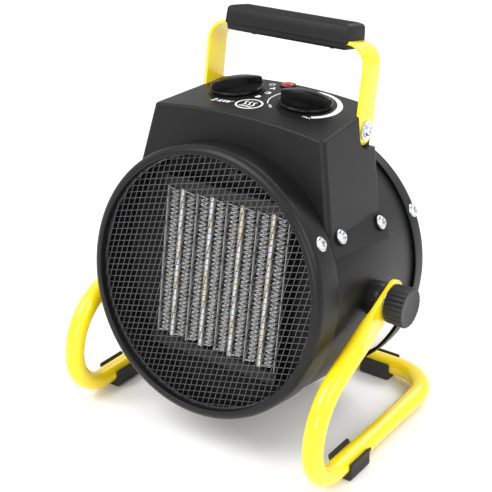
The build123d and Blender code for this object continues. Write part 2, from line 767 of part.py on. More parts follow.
def foot_nodes():
    """The four rubber feet: two on the floor runs and two on the crossbar."""
    foot = foot_clip()
    nodes = {}
    for side, sign in (("right", 1), ("left", -1)):
        nodes["foot_clip_front_" + side] = Pos(sign * SIDE_X, FRONT_FOOT_Y, 0) * foot
        nodes["foot_clip_rear_" + side] = Pos(sign * REAR_FOOT_X, REAR_Y, 0) * Rot(Z=90) * foot
    return nodes


def control_nodes():
    """The knobs, their spindles and the controls under them."""
    nodes = {}
    controls = (
        ("selector", SELECTOR_X, SELECTOR_POINT, control_body(30, 20)),
        ("thermostat", THERMOSTAT_X, THERMOSTAT_POINT, control_body(26, 16)),
    )
    for name, across, point, body in controls:
        place = HEATER * on_top(across, KNOB_ALONG)
        nodes[name + "_knob"] = place * Pos(0, 0, PAD_H + 0.4) * knob(point)
        nodes[name + "_spindle"] = place * spindle()
        nodes[name + "_control"] = place * body
    return nodes


def heater_nodes():
    """Everything that is fixed to the drum, turned to the rest tilt."""
    rear = Rot(Z=180)
    bolts = handle_bolt()
    washers = handle_washer()
    rail = element_rail()
    front_grille = Pos(0, -GRILLE_Y, 0) * grille(UPRIGHT_LEAN, LEVEL_RISE)
    rear_y = REAR_FACE - RING_FACE + GRILLE_Y
    rear_grille = rear * Pos(0, -rear_y, 0) * grille(UPRIGHT_LEAN, LEVEL_RISE)
    pieces = {
        "drum_shell": drum_shell(),
        "front_bezel": end_ring(RING_FACE, RING_SKIRT, RING_SCREW_Y),
        "rear_ring": rear * end_ring(REAR_FACE, REAR_SKIRT, REAR_SCREW_Y),
        "front_grille": front_grille,
        "rear_grille": rear_grille,
        "front_bezel_screws": ring_screws(-RING_SCREW_Y),
        "rear_ring_screws": ring_screws(REAR_SCREW_Y),
        "control_housing": control_housing(),
        "housing_screws": group([place * screw(5.2, 2.4, 2.0, 6.0)
                                 for place in housing_screw_places(DRUM_R + 3.02)]),
        "cable_bushing": cable_bushing(),
        "terminal_block": terminal_block(),
        "power_lamp": lamp_lens(),
        "handle_strap": handle_strap(),
        "grip_upper": grip_half(GRIP_SPLIT + SEAT, GRIP_TOP, GRIP_W, GRIP_HALF, 1.5),
        "grip_lower": grip_half(GRIP_BOTTOM, GRIP_SPLIT, GRIP_W - 2, GRIP_HALF - 1, 0.4),
        "grip_screws": grip_screws(),
        "handle_bolts": group([bolts, mirrored(bolts)]),
        "handle_washers": group([washers, mirrored(washers)]),
        "ceramic_tiles": ceramic_tiles(),
        "contact_plates": contact_plates(),
        "fin_ribbons": fin_ribbons(),
        "element_rail_top": rail,
        "element_rail_bottom": rail.mirror(Plane.XY),
        "element_baffle": element_baffle(),
        "thermal_cutout": thermal_cutout(),
        "motor_can": motor_can(),
        "motor_stator": motor_stator(),
        "motor_bracket": motor_bracket(),
        "bracket_screws": bracket_screws(),
        "rating_plate": rating_plate(),
        "fan_impeller": fan_impeller(),
        "motor_rotor": motor_rotor(),
        "motor_shaft": motor_shaft(),
    }
    return {name: HEATER * piece for name, piece in pieces.items()}


nodes = {"stand_tube": stand_tube()}
nodes.update(foot_nodes())
nodes.update(heater_nodes())
nodes.update(control_nodes())
nodes.update(clamp_nodes("right", lambda shape: shape))
nodes.update(clamp_nodes("left", mirrored))

for name, shape in nodes.items():
    export_step(shape, "parts/" + name + ".step")
    print(name, round(shape.volume))
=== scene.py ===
"""The looks of a round ceramic fan heater on a tilting tube stand, built round its fixed CAD frame.

Every piece is in metres in the frame of the CAD model. Heater pieces are first modelled round the
drum, whose axis is Y and whose origin is the tilt pivot, and are then placed by HEATER.
"""

import json
from math import acos, ceil, cos, hypot, pi, radians, sin, sqrt

import bmesh
import bpy
from bpy.props import FloatProperty, FloatVectorProperty, IntProperty, PointerProperty
from mathutils import Matrix, Vector


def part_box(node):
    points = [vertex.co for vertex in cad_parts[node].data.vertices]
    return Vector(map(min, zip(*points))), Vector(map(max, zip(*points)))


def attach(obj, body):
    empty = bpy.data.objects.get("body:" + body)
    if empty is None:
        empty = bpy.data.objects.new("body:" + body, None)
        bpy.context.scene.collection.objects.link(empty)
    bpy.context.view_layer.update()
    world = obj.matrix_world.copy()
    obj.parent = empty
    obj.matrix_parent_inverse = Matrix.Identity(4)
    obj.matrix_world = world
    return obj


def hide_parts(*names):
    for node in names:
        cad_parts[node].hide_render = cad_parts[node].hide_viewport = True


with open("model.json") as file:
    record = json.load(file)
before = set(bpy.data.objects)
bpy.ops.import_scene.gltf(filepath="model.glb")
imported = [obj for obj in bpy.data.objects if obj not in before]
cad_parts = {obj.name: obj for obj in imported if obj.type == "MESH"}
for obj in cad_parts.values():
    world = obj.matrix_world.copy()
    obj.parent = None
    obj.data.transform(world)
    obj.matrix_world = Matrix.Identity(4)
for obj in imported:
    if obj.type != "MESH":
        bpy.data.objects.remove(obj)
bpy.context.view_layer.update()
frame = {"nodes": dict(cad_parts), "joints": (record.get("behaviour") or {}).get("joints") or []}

bl_info = {
    "name": "Ceramic fan heater",
    "version": (1, 0, 0),
    "blender": (4, 5, 0),
    "location": "3D View > Sidebar > Heater",
    "description": "Builds the visible pieces of a round ceramic fan heater",
    "category": "Object",
}

MM = 0.001
JOINTS = {joint["name"]: joint for joint in frame["joints"]}
PIVOT = Vector(JOINTS["tilt"]["pos_m"])
DRUM_AXIS = Vector(JOINTS["fan_spin"]["axis"])
TILT = acos(DRUM_AXIS.y)
HEATER = Matrix.Translation(PIVOT) @ Matrix.Rotation(-TILT, 4, "X")
SIDES = (("right", 1), ("left", -1))
SMOOTH_ANGLE = radians(38)


# ---------------------------------------------------------------- settings

def length(name, description, value):
    """A size in millimetres, kept in metres."""
    return FloatProperty(name=name, description=description, default=value * MM,
                         unit="LENGTH", precision=5)


def colour(name, description, value):
    """A linear colour."""
    return FloatVectorProperty(name=name, description=description, default=value, size=3,
                               subtype="COLOR", min=0.0, max=1.0)


class DrumSizes(bpy.types.PropertyGroup):
    """Sizes of the drum, its end rings and the wire grilles."""
    drum_radius: length("Drum radius", "Outside of the rolled drum", 98.0)
    drum_half: length("Drum half length", "From the pivot to either edge", 71.0)
    ring_radius: length("Ring radius", "Outside of both end rings", 100.0)
    ring_inner: length("Ring opening", "Radius of the ring's opening", 92.6)
    ring_wall: length("Ring wall", "Thickness of the pressed sheet", 1.3)
    ring_round: length("Ring rounding", "Radius of the ring's outer edge", 6.0)
    front_face: length("Front face", "From the pivot to the front ring's face", 78.3)
    front_skirt: length("Front skirt", "From the pivot to the front skirt's edge", 53.0)
    rear_face: length("Rear face", "From the pivot to the rear ring's face", 76.0)
    rear_skirt: length("Rear skirt", "From the pivot to the rear skirt's edge", 60.0)
    mesh_pitch: length("Mesh pitch", "Spacing of the grille wires", 4.5)
    wire_thickness: length("Wire thickness", "Diameter of a grille wire", 0.56)
    mesh_radius: length("Mesh radius", "Where the grille wires end", 96.0)
    upright_lean: FloatProperty(name="Upright lean", description="Lean of the outer wires",
                                default=radians(12.5), subtype="ANGLE")
    level_rise: FloatProperty(name="Level rise", description="Rise of the inner wires",
                              default=radians(14.5), subtype="ANGLE")


class ControlSizes(bpy.types.PropertyGroup):
    """Sizes of the knobs and prints on the control housing."""
    selector_x: length("Selector place", "Across the housing", -30.2)
    thermostat_x: length("Thermostat place", "Across the housing", 29.6)
    knob_along: length("Knob row", "From the front edge, up the slope", 44.0)
    knob_lift: length("Knob lift", "From the housing's top to a knob", 1.2)
    knob_radius: length("Knob radius", "Radius of the two round knobs", 19.5)
    knob_base: length("Knob base", "Height of a knob's disc", 2.6)
    bar_height: length("Bar height", "Height of a knob's bar", 9.8)
    bar_width: length("Bar width", "Across the middle of a knob's bar", 9.2)
    bar_end: length("Bar end", "Across the ends of a knob's bar", 5.0)
    bar_sag: length("Bar sag", "How much lower the bar is at its ends", 2.8)
    lamp_x: length("Lamp place", "Across the housing", -3.9)
    lamp_along: length("Lamp row", "From the front edge, up the slope", 71.5)
    crown_radius: length("Crown radius", "Curve of the housing's top", 484.55)
    print_height: length("Print height", "Thickness of the printed marks", 0.06)


class StandSizes(bpy.types.PropertyGroup):
    """Sizes of the tube stand, its feet and the clamps."""
    tube_radius: length("Tube radius", "Outside of the stand's tube", 7.5)
    side_x: length("Side spacing", "From the middle to each side frame", 109.3)
    front_y: length("Front bends", "Centre line of the front bends", -93.0)
    rear_y: length("Rear bar", "Centre line of the rear bar", 90.0)
    tube_z: length("Tube height", "Centre line of the floor runs", 10.5)
    front_bend: length("Front bend", "Radius of the upper front bends", 50.0)
    floor_bend: length("Floor bend", "Radius of the lower front bends", 31.0)
    rear_bend: length("Rear bend", "Radius of the rear bends", 32.0)
    flat_thickness: length("Flat thickness", "Thickness of the pressed ends", 4.0)
    flat_width: length("Flat width", "Width of the pressed ends", 21.0)
    foot_length: length("Foot length", "Length of a rubber foot", 26.0)
    clamp_radius: length("Clamp radius", "Radius of a clamp knob", 14.8)
    clamp_length: length("Clamp length", "Length of a clamp knob", 15.0)
    clamp_ribs: IntProperty(name="Clamp ribs", description="Ribs round a clamp knob",
                            default=24, min=6)


class HeaterColours(bpy.types.PropertyGroup):
    """Colours of the heater's finishes."""
    drum: colour("Drum", "Powder coat on the drum and rings", (0.0065, 0.0065, 0.007))
    housing: colour("Housing", "Moulded control housing", (0.0065, 0.0065, 0.007))
    yellow: colour("Yellow", "Powder coat on the stand and handle", (0.93, 0.715, 0.004))
    knob: colour("Knobs", "Glossy control knobs", (0.003, 0.003, 0.0035))
    rubber: colour("Rubber", "Feet and cord bushing", (0.012, 0.012, 0.012))
    wire: colour("Wire", "Coated grille wire", (0.105, 0.105, 0.11))
    ceramic: colour("Ceramic", "Fired heating tiles", (0.68, 0.55, 0.30))
    lamp: colour("Lamp", "Power lamp lens", (0.42, 0.005, 0.006))


# ---------------------------------------------------------------- node trees

class NodeTree:
    """Adds nodes to a tree: settings are set first, then values or links go to the sockets."""

    def __init__(self, tree):
        self.tree = tree

    def add(self, kind, settings=None, inputs=None):
        """A node of a type, with its settings and the values or links of its sockets."""
        node = self.tree.nodes.new(kind)
        for name, value in (settings or {}).items():
            setattr(node, name, value)
        for key, value in (inputs or {}).items():
            socket = node.inputs[key]
            if isinstance(value, Field):
                value = value.socket
            if isinstance(value, bpy.types.NodeSocket):
                self.tree.links.new(value, socket)
            elif value is not None:
                socket.default_value = value
        return node

    def field(self, kind, output, settings=None, inputs=None):
        """The named output of a new node, ready for arithmetic."""
        return Field(self, self.add(kind, settings, inputs).outputs[output])


class Field:
    """A number that changes over a surface or a set of points. Arithmetic adds Math nodes."""

    def __init__(self, nodes, socket):
        self.nodes = nodes
        self.socket = socket

    def _math(self, operation, *values):
        """A Math node on some numbers, as a new field."""
        node = self.nodes.add("ShaderNodeMath", {"operation": operation}, dict(enumerate(values)))
        return Field(self.nodes, node.outputs[0])

    def __add__(self, other):
        return self._math("ADD", self, other)

    def __radd__(self, other):
        return self._math("ADD", other, self)

    def __sub__(self, other):
        return self._math("SUBTRACT", self, other)

    def __rsub__(self, other):
        return self._math("SUBTRACT", other, self)

    def __mul__(self, other):
        return self._math("MULTIPLY", self, other)

    def __rmul__(self, other):
        return self._math("MULTIPLY", other, self)

    def __truediv__(self, other):
        return self._math("DIVIDE", self, other)

    def __rtruediv__(self, other):
        return self._math("DIVIDE", other, self)

    def __lt__(self, other):
        return self._math("LESS_THAN", self, other)

    def absolute(self):
        """The size without its sign."""
        return self._math("ABSOLUTE", self)

    def floor(self):
        """Rounded down to a whole number."""
        return self._math("FLOOR", self)

    def fraction(self):
        """What is left over after rounding down."""
        return self._math("FRACT", self)

    def root(self):
        """The square root."""
        return self._math("SQRT", self)

    def remainder(self, other):
        """What is left over after whole steps of another number."""
        return self._math("FLOORED_MODULO", self, other)


class Finish(NodeTree):
    """A procedural material on a Principled shader, in object coordinates."""

    def __init__(self, name):
        self.material = bpy.data.materials.new(name)
        self.material.use_nodes = True
        super().__init__(self.material.node_tree)
        self.shader = self.tree.nodes["Principled BSDF"]
        self.place = self.add("ShaderNodeTexCoord").outputs["Object"]

    def noise(self, size, detail=2.0, roughness=0.5, stretch=(1, 1, 1)):
        """Soft noise, from 0 to 1, with features of a size in metres."""
        scaled = self.add("ShaderNodeMapping", {"vector_type": "POINT"},
                          {"Vector": self.place, "Scale": stretch})
        return self.field("ShaderNodeTexNoise", "Fac", {"noise_dimensions": "3D"},
                          {"Vector": scaled.outputs["Vector"], "Scale": 1 / size,
                           "Detail": detail, "Roughness": roughness})

    def cells(self, size, output="Distance"):
        """Voronoi cells of a size in metres."""
        return self.field("ShaderNodeTexVoronoi", output, None,
                          {"Vector": self.place, "Scale": 1 / size})

    def between(self, value, low, high):
        """A value spread so that low becomes 0 and high becomes 1, with soft ends."""
        return self.field("ShaderNodeMapRange", "Result", {"interpolation_type": "SMOOTHSTEP"},
                          {"Value": value, "From Min": low, "From Max": high})

    def blend(self, factor, first, second):
        """One colour turning into another."""
        node = self.add("ShaderNodeMix", {"data_type": "RGBA"}, {"Factor": factor})
        for socket, value in ((node.inputs[6], first), (node.inputs[7], second)):
            if isinstance(value, bpy.types.NodeSocket):
                self.tree.links.new(value, socket)
            else:
                socket.default_value = (*value, 1.0)
        return node.outputs[2]

    def relief(self, height, depth, below=None):
        """Bump of a depth in metres, optionally on top of another bump."""
        inputs = {"Height": height, "Distance": depth, "Strength": 1.0}
        if below is not None:
            inputs["Normal"] = below
        return self.add("ShaderNodeBump", None, inputs).outputs["Normal"]

    def set(self, **values):
        """Values or links for the shader's sockets, named with underscores."""
        for name, value in values.items():
            socket = self.shader.inputs[name.replace("_", " ")]
            if isinstance(value, Field):
                value = value.socket
            if isinstance(value, bpy.types.NodeSocket):
                self.tree.links.new(value, socket)
            elif socket.type == "RGBA":
                socket.default_value = (*value, 1.0)
            else:
                socket.default_value = value
        return self.material


def shade(colour_value, factor):
    """A colour made lighter or darker."""
    return tuple(min(1.0, channel * factor) for channel in colour_value)


# ---------------------------------------------------------------- finishes

def powder_coat(name, base, grain=0.9, roughness=0.36, depth=0.018):
    """Satin powder coat: fine orange peel and slight patchiness."""
    finish = Finish(name)
    peel = finish.noise(grain * MM, 3.0, 0.55)
    patch = finish.noise(38 * MM, 2.0)
    speck = finish.noise(0.35 * MM, 1.0)
    tint = finish.blend(finish.between(patch, 0.3, 0.7), shade(base, 0.88), shade(base, 1.14))
    gloss = roughness - 0.05 + 0.07 * patch + 0.04 * speck
    return finish.set(Base_Color=tint, Roughness=gloss, Normal=finish.relief(peel, depth * MM),
                      Specular_IOR_Level=0.24)


def yellow_coat(base):
    """Glossy yellow coat with a faint orange peel and dust in the gloss."""
    finish = Finish("yellow_gloss_coat")
    peel = finish.noise(3.2 * MM, 2.0, 0.45)
    fine = finish.noise(0.5 * MM, 2.0)
    patch = finish.noise(45 * MM, 2.0)
    deep = (base[0] * 0.93, base[1] * 0.86, base[2])
    tint = finish.blend(finish.between(patch, 0.25, 0.75), deep, base)
    gloss = 0.17 + 0.06 * patch + 0.05 * fine
    return finish.set(Base_Color=tint, Roughness=gloss, Normal=finish.relief(peel, 0.02 * MM),
                      Coat_Weight=0.35, Coat_Roughness=0.08)


def moulded_plastic(name, base, roughness=0.5, spark=0.55, depth=0.025):
    """Moulded plastic with a spark-eroded grain and polish on worn patches."""
    finish = Finish(name)
    grain = finish.noise(spark * MM, 3.0, 0.62)
    pits = finish.cells(spark * 1.4 * MM)
    patch = finish.noise(28 * MM, 2.0)
    tint = finish.blend(finish.between(patch, 0.3, 0.7), shade(base, 0.9), shade(base, 1.18))
    gloss = roughness - 0.05 + 0.06 * patch + 0.08 * grain
    return finish.set(Base_Color=tint, Roughness=gloss, Specular_IOR_Level=0.24,
                      Normal=finish.relief(grain + 0.4 * pits, depth * MM))


def knob_gloss(base):
    """Polished black plastic with fine swirl marks in the gloss."""
    finish = Finish("knob_gloss_black")
    wave = finish.noise(9 * MM, 1.0)
    swirl = finish.noise(0.6 * MM, 2.0, 0.6, (1, 0.15, 1))
    gloss = 0.14 + 0.05 * wave + 0.05 * swirl
    tint = finish.blend(wave, shade(base, 0.9), shade(base, 1.3))
    return finish.set(Base_Color=tint, Roughness=gloss, Coat_Weight=0.04, Coat_Roughness=0.05,
                      Specular_IOR_Level=0.16,
                      Normal=finish.relief(wave, 0.02 * MM))


def rubber_black(base):
    """Matte rubber with a dusty bloom."""
    finish = Finish("foot_rubber_black")
    grain = finish.noise(0.7 * MM, 4.0, 0.65)
    bloom = finish.between(finish.noise(12 * MM, 3.0), 0.45, 0.75)
    tint = finish.blend(bloom * 0.5, base, (0.035, 0.034, 0.032))
    return finish.set(Base_Color=tint, Roughness=0.62 + 0.18 * bloom,
                      Normal=finish.relief(grain, 0.03 * MM))


def zinc_plate(name="zinc_plate", tone=(0.66, 0.67, 0.69), roughness=0.24):
    """Bright zinc plating with turning marks and a few dull patches."""
    finish = Finish(name)
    dull = finish.between(finish.noise(3.5 * MM, 3.0), 0.45, 0.75)
    marks = finish.noise(0.25 * MM, 2.0, 0.5, (1, 1, 0.2))
    tint = finish.blend(dull, tone, shade(tone, 0.86))
    return finish.set(Base_Color=tint, Metallic=1.0, Roughness=roughness + 0.14 * dull + 0.08 * marks,
                      Normal=finish.relief(marks, 0.006 * MM))


def grille_coat(base):
    """Dark coated wire whose coat has worn thin on the crests."""
    finish = Finish("grille_wire_coat")
    patch = finish.noise(6 * MM, 2.0)
    grain = finish.noise(0.4 * MM, 2.0)
    tint = finish.blend(patch, shade(base, 0.7), shade(base, 1.35))
    return finish.set(Base_Color=tint, Metallic=0.6, Roughness=0.3 + 0.12 * grain,
                      Normal=finish.relief(grain, 0.01 * MM))


def fired_ceramic(base):
    """Cream ceramic tiles, each fired a little differently, with chalky glue at the edges."""
    finish = Finish("fired_ceramic")
    up = finish.field("ShaderNodeSeparateXYZ", "Z", None, {"Vector": finish.place})
    across = finish.field("ShaderNodeSeparateXYZ", "X", None, {"Vector": finish.place})
    cell = (up / (7.6 * MM)).floor() + (across / (20 * MM)).floor() * 17.0
    firing = finish.field("ShaderNodeTexWhiteNoise", "Value", {"noise_dimensions": "1D"},
                          {"W": cell})
    chalk = finish.between(finish.noise(2.4 * MM, 3.0), 0.4, 0.62)
    pale = finish.between(firing, 0.45, 0.55)
    body = finish.blend(pale, shade(base, 0.95), (0.66, 0.67, 0.72))
    tint = finish.blend(chalk * 0.35, body, (0.80, 0.78, 0.72))
    grain = finish.noise(0.5 * MM, 3.0)
    return finish.set(Base_Color=tint, Roughness=0.55 + 0.2 * grain,
                      Normal=finish.relief(grain, 0.03 * MM))


def drum_depth(finish):
    """How far a point is along the drum's axis from the pivot, towards the back."""
    offset = finish.field("ShaderNodeVectorMath", "Vector", {"operation": "SUBTRACT"},
                          {0: finish.place, 1: PIVOT})
    return finish.field("ShaderNodeVectorMath", "Value", {"operation": "DOT_PRODUCT"},
                        {0: offset, 1: DRUM_AXIS})


def fin_foil():
    """Thin aluminium foil with patches browned by heat, bright at its front edges and darkened further
    in with painted shade.
    """
    finish = Finish("fin_foil")
    rolled = finish.noise(0.6 * MM, 2.0, 0.5, (1, 0.1, 1))
    heat = finish.between(finish.noise(14 * MM, 3.0), 0.5, 0.8)
    edge = finish.blend(heat * 0.5, (0.66, 0.66, 0.65), (0.54, 0.51, 0.46))
    # painted shade: the foil turns near black further back along the drum's axis, standing in for the
    # shade inside the element
    inside = finish.between(drum_depth(finish), -51.9 * MM, -46.0 * MM)
    tint = finish.blend(inside, edge, (0.035, 0.032, 0.028))
    return finish.set(Base_Color=tint, Metallic=0.1, Roughness=0.34 + 0.16 * rolled,
                      Normal=finish.relief(rolled, 0.01 * MM))


def bright_strip():
    """Contact strips of bright aluminium whose front edges are sheared and dull, darkened further back
    with painted shade.
    """
    finish = Finish("contact_strip")
    shear = finish.noise(0.5 * MM, 2.0, 0.5, (1, 1, 3))
    # painted shade: the strips turn dark grey behind their front edges, standing in for the shade inside
    # the element
    inside = finish.between(drum_depth(finish), -51.8 * MM, -50.0 * MM)
    front = finish.blend(shear, (0.34, 0.34, 0.34), (0.52, 0.52, 0.52))
    tint = finish.blend(inside, front, (0.08, 0.08, 0.08))
    return finish.set(Base_Color=tint, Metallic=0.1, Roughness=0.4 + 0.15 * shear)


def galvanised(name="galvanised_sheet", tone=(0.42, 0.43, 0.44)):
    """Galvanised sheet with spangle."""
    finish = Finish(name)
    spangle = finish.field("ShaderNodeSeparateColor", "Red", None,
                           {"Color": finish.add("ShaderNodeTexVoronoi", None,
                                                {"Vector": finish.place, "Scale": 1 / (5 * MM)}
                                                ).outputs["Color"]})
    tint = finish.blend(spangle, shade(tone, 0.8), shade(tone, 1.2))
    return finish.set(Base_Color=tint, Metallic=0.9, Roughness=0.35 + 0.2 * spangle)


def lamp_lens(base):
    """Clear red plastic with fine rings pressed inside."""
    finish = Finish("lamp_lens_red")
    facet = finish.cells(1.1 * MM)
    tint = finish.blend(finish.between(facet, 0.1, 0.6), shade(base, 0.55), base)
    return finish.set(Base_Color=tint, Roughness=0.14 + 0.1 * facet, Coat_Weight=0.15,
                      Coat_Roughness=0.03, Normal=finish.relief(facet, 0.12 * MM))


def print_ink():
    """White screen-printed ink, a little thin in places."""
    finish = Finish("print_ink_white")
    thin = finish.noise(0.8 * MM, 3.0, 0.6)
    tint = finish.blend(finish.between(thin, 0.25, 0.5), (0.55, 0.55, 0.55), (0.86, 0.86, 0.86))
    return finish.set(Base_Color=tint, Roughness=0.45 + 0.15 * thin)


def blank_label():
    """A white foil label with a faint ruled form and nothing written on it."""
    finish = Finish("blank_label_foil")
    along = finish.field("ShaderNodeSeparateXYZ", "Y", None, {"Vector": finish.place})
    up = finish.field("ShaderNodeSeparateXYZ", "Z", None, {"Vector": finish.place})
    level = up + 0.158 * along
    rule = (level / (4.6 * MM)).fraction() < 0.10
    crease = finish.noise(9 * MM, 2.0)
    tint = finish.blend(rule * 0.45, (0.80, 0.80, 0.81), (0.42, 0.43, 0.45))
    return finish.set(Base_Color=tint, Roughness=0.3 + 0.15 * crease,
                      Normal=finish.relief(crease, 0.05 * MM))


def winding():
    """Steel laminations with enamelled windings between them."""
    finish = Finish("motor_windings")
    along = finish.field("ShaderNodeSeparateXYZ", "Y", None, {"Vector": finish.place})
    stripe = ((along / (0.9 * MM)).fraction() - 0.5).absolute()
    tint = finish.blend(finish.between(stripe, 0.1, 0.4), (0.09, 0.09, 0.10), (0.2, 0.2, 0.21))
    return finish.set(Base_Color=tint, Metallic=0.7, Roughness=0.45 + 0.2 * stripe,
                      Normal=finish.relief(stripe, 0.2 * MM))


def studio_floor():
    """A pale seamless floor."""
    finish = Finish("studio_floor")
    cloud = finish.noise(0.9, 2.0)
    tint = finish.blend(cloud, (0.86, 0.86, 0.86), (0.90, 0.90, 0.90))
    return finish.set(Base_Color=tint, Roughness=0.6 + 0.1 * cloud)


FINISHES = {}


def finish_named(name, make, *values, **options):
    """A finish made once and then shared."""
    if name not in FINISHES:
        FINISHES[name] = make(*values, **options)
    return FINISHES[name]


def colours():
    """The colours chosen in the sidebar."""
    return bpy.context.scene.heater_colours


def drum_coat():
    """Satin black on the drum and its rings."""
    return finish_named("drum", powder_coat, "drum_powder_coat", tuple(colours().drum))


def housing_plastic():
    """Matt black moulding of the control housing."""
    return finish_named("housing", moulded_plastic, "housing_moulded", tuple(colours().housing),
                        roughness=0.42)


def yellow():
    """Gloss yellow on the stand and the handle."""
    return finish_named("yellow", yellow_coat, tuple(colours().yellow))


def zinc():
    """Bright plating on screws, washers and studs."""
    return finish_named("zinc", zinc_plate)


# ---------------------------------------------------------------- mesh helpers

def piece(name, mesh, material, body, replaces=(), smooth=SMOOTH_ANGLE):
    """A finished object from a mesh in the rest frame, riding on a body."""
    mesh.materials.clear()
    mesh.materials.append(material)
    if smooth is not None:
        mesh.shade_smooth()
        mesh.set_sharp_from_angle(angle=smooth)
    made = bpy.data.objects.new(name, mesh)
    bpy.context.scene.collection.objects.link(made)
    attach(made, body)
    if replaces:
        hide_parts(*replaces)
    return made


def mesh_from(verts, faces, place=None):
    """A clean mesh with outward normals."""
    model = bmesh.new()
    points = [model.verts.new(vert) for vert in verts]
    for face in faces:
        model.faces.new([points[index] for index in face])
    return finished(model, place)


def finished(model, place=None):
    """A bmesh made into a mesh, with its doubles merged and its normals outward."""
    bmesh.ops.remove_doubles(model, verts=model.verts, dist=1e-7)
    bmesh.ops.recalc_face_normals(model, faces=model.faces)
    if place is not None:
        bmesh.ops.transform(model, matrix=place, verts=model.verts)
        if place.determinant() < 0:
            bmesh.ops.reverse_faces(model, faces=model.faces)
    mesh = bpy.data.meshes.new("made")
    model.to_mesh(mesh)
    model.free()
    return mesh


def joined(meshes):
    """Several meshes as one."""
    model = bmesh.new()
    for mesh in meshes:
        model.from_mesh(mesh)
        bpy.data.meshes.remove(mesh)
    mesh = bpy.data.meshes.new("joined")
    model.to_mesh(mesh)
    model.free()
    return mesh


def rounded(points, radii, steps=6):
    """A closed outline in the plane with its corners rounded."""
    outline = []
    count = len(points)
    for index, point in enumerate(points):
        corner = Vector(point)
        radius = radii[index] if isinstance(radii, (list, tuple)) else radii
        back = (Vector(points[index - 1]) - corner).normalized()
        ahead = (Vector(points[(index + 1) % count]) - corner).normalized()
        if radius <= 0:
            outline.append(tuple(corner))
            continue
        half = back.angle(ahead) / 2
        reach = radius / max(1e-9, abs(sin(half) / cos(half)))
        middle = corner + (back + ahead).normalized() * radius / sin(half)
        start = corner + back * reach - middle
        finish = corner + ahead * reach - middle
        swing = start.angle_signed(finish)
        for step in range(steps + 1):
            arm = start.copy()
            arm.rotate(Matrix.Rotation(-swing * step / steps, 2))
            outline.append(tuple(middle + arm))
    return outline


def revolved(profile, segments=160, closed=True):
    """A profile of (radius, along) turned round the Y axis. An open one starts and ends on the axis."""
    verts = []
    rings = []
    for radius, along in profile:
        if radius < 1e-9:
            rings.append([len(verts)])
            verts.append((0, along, 0))
            continue
        ring = []
        for index in range(segments):
            angle = 2 * pi * index / segments
            ring.append(len(verts))
            verts.append((radius * cos(angle), along, radius * sin(angle)))
        rings.append(ring)
    faces = []
    pairs = list(zip(rings, rings[1:] + rings[:1])) if closed else list(zip(rings, rings[1:]))
    for first, second in pairs:
        for index in range(segments):
            after = (index + 1) % segments
            if len(first) == 1:
                faces.append((first[0], second[index], second[after]))
            elif len(second) == 1:
                faces.append((first[index], first[after], second[0]))
            else:
                faces.append((first[index], first[after], second[after], second[index]))
    return verts, faces


def stacked(loops):
    """Loops of equal length joined one to the next and capped at both ends."""
    count = len(loops[0])
    verts = [point for loop in loops for point in loop]
    faces = [tuple(range(count)), tuple(range(len(verts) - count, len(verts)))]
    for level in range(len(loops) - 1):
        low = level * count
        for index in range(count):
            after = (index + 1) % count
            faces.append((low + index, low + after, low + count + after, low + count + index))
    return verts, faces


def filleted(points, radii, step=radians(4)):
    """A route through points with arcs at its inner corners."""
    route = [Vector(points[0])]
    for index in range(1, len(points) - 1):
        corner = Vector(points[index])
        back = (Vector(points[index - 1]) - corner).normalized()
        ahead = (Vector(points[index + 1]) - corner).normalized()
        turn = pi - back.angle(ahead)
        radius = radii[index - 1]
        reach = radius * sin(turn / 2) / cos(turn / 2)
        middle = corner + (back + ahead).normalized() * radius / cos(turn / 2)
        start = corner + back * reach - middle
        axis = back.cross(ahead).normalized()
        count = max(2, ceil(turn / step))
        for index_step in range(count + 1):
            arm = start.copy()
            arm.rotate(Matrix.Rotation(-turn * index_step / count, 3, axis))
            route.append(middle + arm)
    route.append(Vector(points[-1]))
    return route


def divided(route, spacing):
    """A route with its long straight stretches divided."""
    fine = [route[0]]
    for start, finish in zip(route, route[1:]):
        count = max(1, ceil((finish - start).length / spacing))
        fine += [start.lerp(finish, (index + 1) / count) for index in range(count)]
    return fine


def swept(route, section, side):
    """A section carried along a route. section(done, left) gives its outline at that distance."""
    total = sum((b - a).length for a, b in zip(route, route[1:]))
    done = 0.0
    loops = []
    for index, point in enumerate(route):
        before = route[max(0, index - 1)]
        after = route[min(len(route) - 1, index + 1)]
        ahead = (after - before).normalized()
        side = (side - ahead * side.dot(ahead)).normalized()
        up = ahead.cross(side)
        if index:
            done += (point - before).length
        loops.append([point + side * across + up * high for across, high in section(done, total - done)])
    return stacked(loops)


# ---------------------------------------------------------------- geometry nodes

